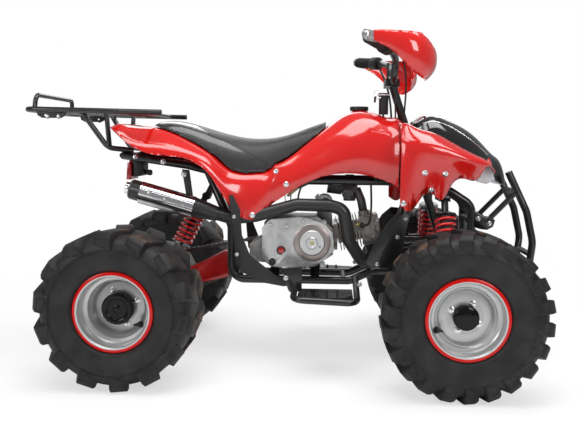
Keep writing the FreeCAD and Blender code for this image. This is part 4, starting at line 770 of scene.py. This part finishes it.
# carried-over metal and plastic: node, finish, smoothing angle, edge rounding
plainNodes = {
    "front_hub_right": ("frameBlack", 30, 0.0008), "front_hub_left": ("frameBlack", 30, 0.0008),
    "rear_axle": ("frameBlack", 30, 0.0008), "sprocket_and_disc": ("axleSteel", 30, 0.0006),
    "main_frame": ("frameBlack", 40, 0), "swingarm": ("armRed", 32, 0.0015),
    "axle_carrier": ("darkAlloy", 32, 0.001), "suspension_arms": ("frameBlack", 40, 0),
    "shock_absorbers": ("frameBlack", 30, 0.0006), "drive_chain": ("chainSteel", 30, 0),
    "knuckle_right": ("axleSteel", 30, 0.0005), "knuckle_left": ("axleSteel", 30, 0.0005),
    "tie_rod_right": ("frameBlack", 30, 0.0005), "tie_rod_left": ("frameBlack", 30, 0.0005),
    "engine": ("engineAlloy", 30, 0.002), "clutch_cover": ("coverAlloy", 30, 0.002),
    "cylinder_head": ("finAlloy", 30, 0.0006), "carburettor": ("darkAlloy", 35, 0.001),
    "exhaust_pipe": ("exhaustBlack", 50, 0), "muffler": ("exhaustBlack", 32, 0.001),
    "heat_shield": ("chrome", 40, 0), "rear_rack": ("frameBlack", 40, 0),
    "front_bumper": ("frameBlack", 40, 0),
    "steering_stem": ("frameBlack", 32, 0.0005), "handlebar": ("frameBlack", 40, 0),
    "bar_controls": ("gripRubber", 32, 0.001), "handguards": ("bodyRed", 40, 0),
    "guard_brackets": ("bracketAlloy", 30, 0.0006), "tank_cover": ("bodyRed", 40, 0),
    "front_fender": ("bodyRed", 40, 0), "rear_fender": ("bodyRed", 40, 0), "nose_panel": ("noseBlack", 40, 0),
    "fuel_cap": ("blackPlastic", 30, 0.0015), "key_switch": ("blackPlastic", 30, 0.0008),
    "headlamps": ("clearLens", 30, 0.001), "tail_lamp": ("redLens", 30, 0.002),
    "footrests": ("frameBlack", 35, 0.0005), "heel_guards": ("blackPlastic", 30, 0.0008),
    "splash_guards": ("frameBlack", 30, 0.0008), "springs": ("springRed", 60, 0),
}
dressedNodes = {node: dressed(node, paints[finish], degrees, edge)
                for node, (finish, degrees, edge) in plainNodes.items()}
print("plain nodes dressed:", len(plainNodes))
bpy.context.view_layer.update()


# place and normal on the outer faces of dressed pieces, found from the right side
def faceAt(nodes, x, z, fallback=-150):
    found = []
    for node in nodes:
        hit, place, normal, _ = dressedNodes[node].ray_cast(at(x, -farOut, z), -out)
        if hit:
            found.append((-place.y, place.copy(), normal.copy()))
    if not found:
        return at(x, fallback, z), out
    return max(found, key=lambda spot: spot[0])[1:]


# bolts: places in side view on the named nodes' faces, or at a given depth; of steel, with twins on the
# left, unless said
def boltSet(name, facts):
    heads = []
    for x, z in facts["places"]:
        if "on" in facts:
            place, normal = faceAt(facts["on"], x, z, facts.get("fallback", -150))
        else:
            place, normal = at(x, facts["y"], z), out
        normal = out if facts.get("straight") else normal
        heads.append(buttonBolt(place - normal * facts.get("sink", 0), normal, facts["radius"]))
    heads = bothSides(heads) if facts.get("both", True) else heads
    fitted(joined(name, heads), name, facts.get("paint", "boltSteel"), facts.get("body", "chassis"))


# plates: outlines in side view in millimetres, pushed towards the bike's right side
def plateSet(name, facts):
    plates = [sideSlab(outline, facts["y"], facts["thick"], facts["edge"]) for outline in facts["outlines"]]
    plates = bothSides(plates) if facts.get("both") else plates
    fitted(joined(name, plates), name, facts["paint"])


# turned fittings: the same steps, in millimetres, at each place, about one line
def turnedSet(name, facts):
    steps = [(radius / 1000, height / 1000) for radius, height in facts["steps"]]
    shapes = [turned(steps, place, facts.get("line", out), facts["sides"], facts.get("ring", False))
              for place in facts["places"]]
    shapes = bothSides(shapes) if facts.get("both") else shapes
    material = facts.get("finish") or paints[facts["paint"]]
    finished(joined(name, shapes), name, material, facts.get("body", "chassis"), facts.get("degrees", 35))


bolts = {
    "panelBolts": {"on": ["tank_cover", "rear_fender", "front_fender"], "radius": 0.0068, "paint": "chrome",
                   "places": [(435, 619), (468, 578), (363, 481), (887, 621), (948, 618), (910, 569),
                              (825, 529)]},
    "guardBolts": {"on": ["guard_brackets"], "radius": 0.0088, "body": "steering", "places": [(699, 1005)],
                   "fallback": -347},
    "guardScrews": {"on": ["guard_brackets"], "radius": 0.0066, "body": "steering", "paint": "chrome",
                    "places": [(725, 998)]},
    "tailBolts": {"on": ["main_frame"], "radius": 0.0070, "paint": "chrome",
                  "places": [(-12, 661), (76, 645)]},
    "rackBolts": {"on": ["rear_rack"], "radius": 0.0048, "places": [(-262, 781), (-228, 781)]},
    "hangerBolt": {"on": ["muffler"], "radius": 0.0070, "paint": "chrome", "both": False,
                   "places": [(143, 606)]},
    "shieldScrews": {"on": ["heat_shield"], "radius": 0.0058, "both": False,
                     "places": [(43, 549), (93, 530), (146, 512)]},
    "heelBolts": {"on": ["heel_guards"], "radius": 0.0050, "places": [(309, 479), (318, 361)]},
    "frameBolts": {"on": ["splash_guards", "main_frame"], "radius": 0.0055,
                   "places": [(818, 416), (757, 330), (842, 474)]},
    "pegBolts": {"on": ["footrests"], "radius": 0.0060, "places": [(699, 280), (474, 296)], "fallback": -212},
}
for name, facts in bolts.items():
    boltSet(name, facts)
plateSet("bumperBrackets", {
    "y": -80, "thick": 6, "edge": 0.0014, "paint": "frameBlack", "both": True,
    "outlines": [[(1046, 496), (1062, 500), (1086, 484), (1118, 480), (1128, 468), (1122, 448), (1104, 438),
                  (1084, 440), (1050, 450)]]})
boltSet("bumperBolts", {"y": -86, "radius": 0.0066, "paint": "chrome", "places": [(1109, 460), (1074, 474)]})

# painted highlight: a thin chrome strip along the nose panel's edge, standing in for the bright reflection on
# the glossy black panel
highlightStripFacts = {"radius": 0.0016, "lift": 0.0002, "fallback": -70, "places": [
    (893, 772), (930, 777), (971, 766), (1010, 745), (1048, 719), (1080, 694), (1103, 674)]}
highlightStripSpots = [faceAt(["nose_panel"], x, z, highlightStripFacts["fallback"]) for x, z in highlightStripFacts["places"]]
highlightStrip = tubeAlong([place + normal * highlightStripFacts["lift"] for place, normal in highlightStripSpots], highlightStripFacts["radius"])
# the painted highlight strip and its left twin, in chrome
fitted(joined("noseHighlightStrip", bothSides([highlightStrip])), "noseHighlightStrip", "chrome", degrees=60)
print("bolts set")

# clutch cover: machined ring, raised disc, plug, window, filler and screws on bosses
coverCentre, plugCentre = at(551, -138, 396), at(551, -143, 396)
bossPlaces = [(521, 463), (588, 458), (614, 374), (518, 331), (585, 324), (470, 447), (420, 452)]
windowPlace = faceAt(["clutch_cover"], 453, 369)[0]
fillerPlace = faceAt(["clutch_cover"], 426, 333)[0]
coverFittings = {
    "coverRing": {"places": [coverCentre], "sides": 72, "ring": True, "degrees": 40,
                  "finish": turnedAlloy("coverRingAlloy", coverCentre, (0.42, 0.36, 0.35),
                                        (0.26, 0.215, 0.21)),
                  "steps": [(58.8, -1), (58.8, 1.2), (57.2, 2.4), (40.5, 2.4), (39.2, 1), (39.2, -1)]},
    "coverDisc": {"places": [coverCentre], "sides": 72, "ring": True, "degrees": 40,
                  "finish": turnedAlloy("coverDiscAlloy", coverCentre, (0.74, 0.74, 0.74),
                                        (0.58, 0.58, 0.58)),
                  "steps": [(38.6, -1), (38.6, 3), (37.2, 4.4), (21.5, 4.4), (20.8, 2.6), (18, 2.6),
                            (18, -1)]},
    "coverPlug": {"places": [plugCentre], "sides": 48, "paint": "chrome", "degrees": 30,
                  "steps": [(17.6, -5), (17.6, 0.6), (16.5, 1.8), (12.8, 1.8), (12, 0.4), (7, 0.4),
                            (6.2, -0.2), (0, -0.2)]},
    "coverPlugCentre": {"places": [plugCentre], "sides": 24, "paint": "brass",
                        "steps": [(4.6, -1), (4.6, 2), (3.8, 3), (0, 3)]},
    "discMark": {"places": [at(576, -142.2, 384)], "sides": 16, "paint": "darkAlloy",
                 "steps": [(3, -2), (3, 1.2), (0, 1.4)]},
    "coverBosses": {"places": [at(x, -121.5, z) for x, z in bossPlaces], "sides": 28, "paint": "coverAlloy",
                    "steps": [(8.2, -20), (8.2, 2.2), (7.4, 3.2), (0, 3.2)]},
}
for name, facts in coverFittings.items():
    turnedSet(name, facts)
boltSet("coverScrews", {"y": -124.7, "radius": 0.0046, "both": False, "places": bossPlaces})
windowFittings = {
    "windowRing": {"places": [windowPlace], "sides": 40, "ring": True, "paint": "blackPlastic",
                   "steps": [(14.5, -3), (14.5, 1.8), (13.2, 3), (10.8, 3), (10, 0.8), (10, -3)]},
    "windowGlass": {"places": [windowPlace], "sides": 32, "paint": "redLens",
                    "steps": [(10.4, -3), (10.4, 0.8), (6, 1.6), (0, 1.8)]},
    "fillerCap": {"places": [fillerPlace], "sides": 10, "paint": "blackPlastic", "degrees": 24,
                  "steps": [(12, -4), (12, 4), (10.8, 5.2), (6.6, 5.2), (6, 8.5), (0, 8.8)]},
}
for name, facts in windowFittings.items():
    turnedSet(name, facts)
# small arm below the window, as cast on the case
plateSet("coverRib", {"y": -126, "thick": 5, "edge": 0.0016, "paint": "coverAlloy", "outlines": [
    [(432, 326), (446, 322), (474, 352), (470, 366), (462, 362)]]})

# starter
starterFittings = {
    "starterNose": {"places": [at(590, -74, 515)], "sides": 40, "paint": "chrome", "degrees": 30,
                    "steps": [(18.4, -10), (18.4, 1.2), (16.8, 3), (13.2, 3), (12.2, 0.6), (8.6, 0.6),
                              (7.8, 3.4), (4, 4.4), (0, 4.4)]},
    "starterRing": {"places": [at(588, -60, 514)], "sides": 48, "ring": True, "paint": "coverAlloy",
                    "degrees": 30,
                    "steps": [(28.2, -6), (28.2, 1.8), (26.8, 3.2), (20.5, 3.2), (19.8, 1.2), (19.8, -6)]},
}
for name, facts in starterFittings.items():
    turnedSet(name, facts)
plateSet("starterEars", {"y": -54, "thick": 8, "edge": 0.0012, "paint": "coverAlloy", "outlines": [
    [(566, 546), (556, 534), (566, 518), (588, 530)], [(612, 500), (620, 486), (606, 484), (594, 494)]]})
boltSet("starterScrews", {"y": -62, "radius": 0.0048, "both": False, "places": [(566, 536), (609, 490)]})

# carburettor's bowl and drain, the intake's clamps, and what sits on the cylinder head
bowl = turned([(0.0195, -0.010), (0.0195, 0.0022), (0.0180, 0.0040), (0.0130, 0.0048), (0.0122, 0.0030),
               (0.0042, 0.0030), (0.0036, 0.0055), (0, 0.0056)], at(664, -19, 544), out, 36)
drain = turned([(0.0062, -0.006), (0.0062, 0.010), (0.0050, 0.0116), (0, 0.0118)], at(690, -16, 566), out, 20)
fitted(joined("carburettorBowl", [bowl, drain]), "carburettorBowl", "darkAlloy", degrees=28)
headFittings = {
    "intakeClamps": {"places": [at(622, 0, 576), at(638, 0, 576)], "line": (1, 0, 0), "sides": 36,
                     "ring": True, "paint": "boltSteel", "degrees": 30,
                     "steps": [(21.2, -4), (21.8, -3), (21.8, 3), (21.2, 4), (19, 4), (19, -4)]},
    "plugCap": {"places": [at(711, -52, 444)], "sides": 24, "paint": "hoseRubber",
                "steps": [(9, -4), (9, 6), (7.8, 8), (7.8, 12), (0, 12.2)]},
    "headPlug": {"places": [at(697, -52, 447)], "sides": 6, "paint": "brass", "degrees": 24,
                 "steps": [(5.6, -4), (5.6, 3), (4.4, 4), (0, 4)]},
}
for name, facts in headFittings.items():
    turnedSet(name, facts)
boltSet("headScrews", {"on": ["cylinder_head"], "fallback": -52, "straight": True, "radius": 0.0042,
                       "both": False, "places": [(742, 478), (762, 462), (765, 430), (748, 408), (728, 398)]})
turnedSet("headCover", {"places": [at(752, -41.6, 444)], "sides": 36, "paint": "finAlloy", "degrees": 30,
                        "steps": [(15, -4), (15, 1.6), (13.6, 3), (6, 3), (5.2, 1.2), (0, 1.2)]})
boltSet("pipeBolt", {"on": ["exhaust_pipe"], "sink": 0.0010, "radius": 0.0042, "both": False,
                     "places": [(623, 462)]})
print("engine fitted")

# muffler outlet along the can's line, and the lamp's housing
tail, nose = at(-22, -130, 558), at(176, -130, 503)
aft = (tail - nose).normalized()
tailFittings = {
    "mufflerOutlet": {"places": [tail], "line": aft, "sides": 40, "paint": "chrome", "degrees": 30,
                      "steps": [(20, -2), (20, 10), (19, 15), (18.2, 20), (17.2, 20), (16.8, 8), (0, 8)]},
    "mufflerEnd": {"places": [tail], "line": aft, "sides": 48, "ring": True, "paint": "darkAlloy",
                   "degrees": 30, "steps": [(31, -3), (31, 1.2), (28.5, 5), (21.5, 6), (21.5, -3)]},
}
for name, facts in tailFittings.items():
    turnedSet(name, facts)
plateSet("lampHousing", {"y": 36, "thick": 72, "edge": 0.004, "paint": "blackPlastic", "outlines": [
    [(-45.5, 648), (-14, 644), (-10, 640), (-10, 606), (-16, 596), (-45.5, 592)]]})
plateSet("lampPlug", {"y": -4, "thick": 16, "edge": 0.002, "paint": "blackPlastic", "outlines": [
    [(-9.6, 616), (10, 616), (14, 612), (14, 600), (10, 597), (-9.6, 600)]]})
print("tail fitted")

# steering head: key, its ring, ties, grip ribs and two buttons
turnedSet("keyRing", {"places": [at(752, -56, 862)], "line": (0.5, -1, 0.1), "sides": 32, "ring": True,
                      "paint": "chrome", "steps": [(13.5, -0.8), (14, 0), (13.5, 0.8), (12.8, 0)]})
plateSet("keyHead", {"y": -54, "thick": 4, "edge": 0.0015, "paint": "blackPlastic", "outlines": [
    [(741, 856), (749, 858), (747, 838), (741, 836)]]})
gripFacts = {"from": (700, -330, 1005), "to": (782, -180, 985), "first": 0.014, "pitch": 0.0062, "ribs": 15}
gripFoot = at(*gripFacts["from"])
gripLine = (at(*gripFacts["to"]) - gripFoot).normalized()
barFittings = {
    "headTies": {"places": [at(773, -40, 862)], "line": (0, 0, 1), "sides": 32, "ring": True,
                 "paint": "whitePlastic",
                 "steps": [(18.5, -2.2), (19.6, -1.8), (19.6, 1.8), (18.5, 2.2), (17.2, 2.2), (17.2, -2.2)]},
    "gripRibs": {"places": [gripFoot + gripLine * (gripFacts["first"] + gripFacts["pitch"] * i)
                            for i in range(gripFacts["ribs"])],
                 "line": gripLine, "sides": 28, "ring": True, "both": True, "paint": "gripRubber",
                 "body": "steering", "degrees": 40,
                 "steps": [(16.8, -1.6), (17.8, -1), (17.8, 1), (16.8, 1.6), (15, 1.6), (15, -1.6)]},
    "engineButton": {"places": [at(741, 268, 974)], "line": (-0.4, 0, -1), "sides": 20,
                     "paint": "yellowPlastic", "body": "steering",
                     "steps": [(4.8, -4), (4.8, 2.6), (3.8, 3.6), (0, 3.6)]},
    "lampButton": {"places": [at(741, -268, 1008)], "line": (-0.4, 0, 1), "sides": 20, "paint": "redWire",
                   "body": "steering", "steps": [(4, -4), (4, 3), (3, 3.8), (0, 3.8)]},
}
for name, facts in barFittings.items():
    turnedSet(name, facts)
print("bar fitted")


# free lines: a smooth route in millimetres, made a tube that follows it
lineFacts = {"resolution": 10, "bevel": 3, "merge": 0.00001, "smooth": 50}


def freeLine(name, route, diameter, finish="hoseRubber", stiffness="medium", cross=None):
    obj, curve, spline = newCurve(name, "NURBS", len(route), lineFacts["resolution"])
    for knot, place in zip(spline.points, route):
        knot.co = (*at(*place), 1)
    spline.order_u = 3
    spline.use_endpoint_u = True
    bpy.context.view_layer.update()
    path = [vertex.co.copy() for vertex in bpy.data.meshes.new_from_object(obj).vertices]
    curve.bevel_depth = diameter / 2
    curve.bevel_resolution = lineFacts["bevel"]
    choose(obj)
    bpy.ops.object.convert(target="MESH")
    tube = bpy.context.object
    edit(tube)
    cleaned(tube, lineFacts["merge"])
    paint(tube, paints[finish])
    smooth(tube, lineFacts["smooth"])
    if cross:
        at(*cross[0])
        at(*cross[1])
        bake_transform(tube)
    else:
        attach(tube, "chassis")


crossing = ((795, 0, 800), (800, 0, 930))  # where a line passes from the frame to the bar; read, but not used to split or bend the line, and a line given it rides on no body
lines = {
    "throttleCable": {"diameter": 0.0055, "cross": crossing, "route": [
        (812, -40, 772), (811, -42, 812), (808, -50, 860), (806, -74, 905), (803, -108, 946),
        (800, -146, 966), (790, -168, 974)]},
    "brakeCable": {"diameter": 0.0060, "cross": crossing, "route": [
        (838, -30, 772), (840, -36, 815), (842, -52, 862), (838, -86, 912), (828, -124, 950),
        (816, -156, 972), (802, -176, 982)]},
    "switchWires": {"diameter": 0.0070, "cross": crossing, "route": [
        (806, 34, 772), (804, 40, 812), (800, 56, 858), (792, 86, 900), (782, 124, 936), (774, 160, 960),
        (772, 186, 970)]},
    "chokeCable": {"diameter": 0.0050, "cross": crossing, "route": [
        (826, 26, 772), (828, 34, 816), (828, 52, 864), (824, 86, 908), (816, 124, 946), (804, 158, 966),
        (794, 180, 978)]},
    "keyWires": {"diameter": 0.0060, "route": [
        (771, -40, 812), (772, -40, 800), (775, -38, 788), (780, -36, 776)]},
    "plugLead": {"diameter": 0.0070, "route": [
        (712, -62, 444), (726, -64, 444), (736, -64, 456), (739, -62, 500), (738, -60, 552), (735, -58, 606),
        (733, -54, 634)]},
    "ventLoop": {"diameter": 0.0060, "route": [
        (742, -112, 622), (745, -114, 602), (754, -115, 586), (768, -115, 579), (783, -115, 583),
        (792, -114, 596), (796, -112, 616)]},
    "redLead": {"diameter": 0.0028, "finish": "redWire", "stiffness": "limp", "route": [
        (458, -84, 566), (460, -86, 550), (463, -88, 530), (464, -88, 508), (463, -86, 490)]},
    "blackLead": {"diameter": 0.0040, "stiffness": "limp", "route": [
        (482, -84, 548), (480, -86, 538), (481, -88, 524), (484, -88, 508), (485, -86, 490)]},
    "starterLead": {"diameter": 0.0060, "route": [
        (517, -82, 578), (511, -86, 562), (505, -88, 542), (503, -88, 520), (503, -86, 492)]},
}
for name, facts in lines.items():
    freeLine(name, **facts)
plateSet("wireConnector", {"y": -76, "thick": 18, "edge": 0.002, "paint": "tanPlastic", "outlines": [
    [(466, 540), (474, 536), (506, 562), (500, 571), (492, 570)]]})
plateSet("connectorBoot", {"y": -72, "thick": 26, "edge": 0.003, "paint": "hoseRubber", "outlines": [
    [(500, 569), (508, 562), (540, 578), (546, 592), (536, 598), (514, 590)]]})
print("lines laid")

# the seat: remeshed, filled by a cloth run whose drift is capped, subdivided, then its seam
seatFacts = {
    "voxel": 0.006, "shrink": -0.0018, "pressure": 4, "frames": 20, "cap": 0.0020, "fill": 0.85,
    "glossTo": ((249, 0, 721), (408, 0, 638)), "seamRadius": 0.0011, "seamSink": 0.0004,
    "seam": [(214, 737), (249, 721), (280, 710), (309, 698), (340, 682), (369, 664), (392, 649), (410, 636)],
}


def seatPad():
    pad = castOf("seat", "seatPad")
    modify(pad, "REMESH", mode="VOXEL", voxel_size=seatFacts["voxel"])
    modify(pad, "DISPLACE", strength=seatFacts["shrink"], mid_level=0)
    rest = [vertex.co.copy() for vertex in pad.data.vertices]
    choose(pad)
    cloth = pad.modifiers.new("Cloth", "CLOTH")
    cloth.settings.use_pressure = True
    cloth.settings.uniform_pressure_force = seatFacts["pressure"]
    cloth.settings.effector_weights.gravity = 0
    cloth.point_cache.frame_start, cloth.point_cache.frame_end = 1, seatFacts["frames"]
    for step in range(1, seatFacts["frames"] + 1):
        bpy.context.scene.frame_set(step)
    bpy.ops.object.modifier_apply(modifier="Cloth")
    bpy.context.scene.frame_set(1)
    for vertex, start in zip(pad.data.vertices, rest):
        drift = vertex.co - start
        if drift.length > seatFacts["cap"]:
            vertex.co = start + drift * (seatFacts["cap"] / drift.length)
    return modify(pad, "SUBSURF", levels=1, render_levels=1)


seamStart, seamEnd = (at(*place) for place in seatFacts["glossTo"])
pad = finished(seatPad(), "seatPad", seatVinyl("seatVinyl", seamStart, seamEnd), "chassis", 60)
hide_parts("seat")
bpy.context.view_layer.update()
seamLine = []
for x, z in seatFacts["seam"]:
    hit, place, normal, _ = pad.ray_cast(at(x, -farOut, z), -out)
    if hit:
        seamLine.append(place - normal * seatFacts["seamSink"])
seam = tubeAlong(seamLine, seatFacts["seamRadius"])
fitted(joined("seatSeams", bothSides([seam])), "seatSeams", "gripRubber", degrees=60)
print("seat filled:", len(pad.data.polygons), "faces")


# stage: white floor that keeps the shadow, white surroundings, soft lamps; metres and watts
stageFacts = {
    "floor": {"size": 16.0, "drop": 0.0006, "color": (0.93, 0.93, 0.93), "rough": 0.95, "fade": (0.9, 2.0),
              "nearShare": 0.62},
    "sky": {"color": (0.94, 0.96, 1.0, 1), "strength": 0.30},
    "lamps": {
        "topSoftbox": {"place": (0.3, -0.5, 2.8), "target": (0, 0, 0.4), "size": (3.0, 1.4), "power": 74.0},
        "frontSoftbox": {"place": (1.9, -2.6, 1.9), "target": (0.1, 0, 0.5), "size": (1.0, 1.4),
                         "power": 34.0},
        "rearSoftbox": {"place": (-2.2, -2.2, 1.6), "target": (0, 0, 0.5), "size": (1.2, 1.2), "power": 26.0},
        "backSoftbox": {"place": (0.0, 2.6, 2.2), "target": (0, 0, 0.5), "size": (3.0, 1.4), "power": 34.0},
    },
}
whiteRays = ("Is Camera Ray", "Is Transmission Ray")  # white as the camera or a clear lens sees it


def addFloor(facts):
    deselect()
    bpy.ops.mesh.primitive_plane_add(size=facts["size"], location=(0, 0, -facts["drop"]))
    floor = settle(bpy.context.object)
    floor.name = "floorSheet"
    f = Finish("floorWhite", facts["color"], roughness=facts["rough"])
    x, y, _ = f.split()
    far = f.step(f.sum("SQRT", x * x + y * y), *facts["fade"], facts["nearShare"], 1.0)
    seen = f.sum("MAXIMUM", *(f.node("LightPath", {}, {}, ray) for ray in whiteRays))
    glow = f.node("Emission", {}, {"Color": (1.0, 1.0, 1.0), "Strength": 1.0})
    mixed = f.node("MixShader", {}, {0: seen * far, 1: Wire(f, f.surface.outputs[0]), 2: glow})
    f.tree.links.new(mixed.socket, f.tree.nodes["Material Output"].inputs["Surface"])
    paint(floor, f.material)


def addLamp(name, facts):
    lamp = bpy.data.lights.new(name, "AREA")
    lamp.shape = "RECTANGLE"
    lamp.size, lamp.size_y = facts["size"]
    lamp.energy = facts["power"]
    obj = bpy.data.objects.new(name, lamp)
    obj.location = facts["place"]
    towards = Vector(facts["target"]) - Vector(facts["place"])
    obj.rotation_euler = towards.to_track_quat("-Z", "Y").to_euler()
    bpy.context.scene.collection.objects.link(obj)


def addWorld(facts):
    world = bpy.data.worlds.new("studio")
    bpy.context.scene.world = world
    world.use_nodes = True
    tree = world.node_tree
    soft = tree.nodes["Background"]
    seen, rays, blend, either = (tree.nodes.new("ShaderNode" + kind)
                                 for kind in ("Background", "LightPath", "MixShader", "Math"))
    either.operation = "MAXIMUM"
    soft.inputs["Color"].default_value = facts["color"]
    soft.inputs["Strength"].default_value = facts["strength"]
    seen.inputs["Color"].default_value = (1, 1, 1, 1)
    seen.inputs["Strength"].default_value = 1.0
    for socket, ray in zip(either.inputs, whiteRays):
        tree.links.new(rays.outputs[ray], socket)
    for socket, source in zip(blend.inputs, (either, soft, seen)):
        tree.links.new(source.outputs[0], socket)
    tree.links.new(blend.outputs[0], tree.nodes["World Output"].inputs["Surface"])


addFloor(stageFacts["floor"])
addWorld(stageFacts["sky"])
for name, facts in stageFacts["lamps"].items():
    addLamp(name, facts)
bpy.context.scene.view_settings.view_transform = "Standard"
print("stage set")
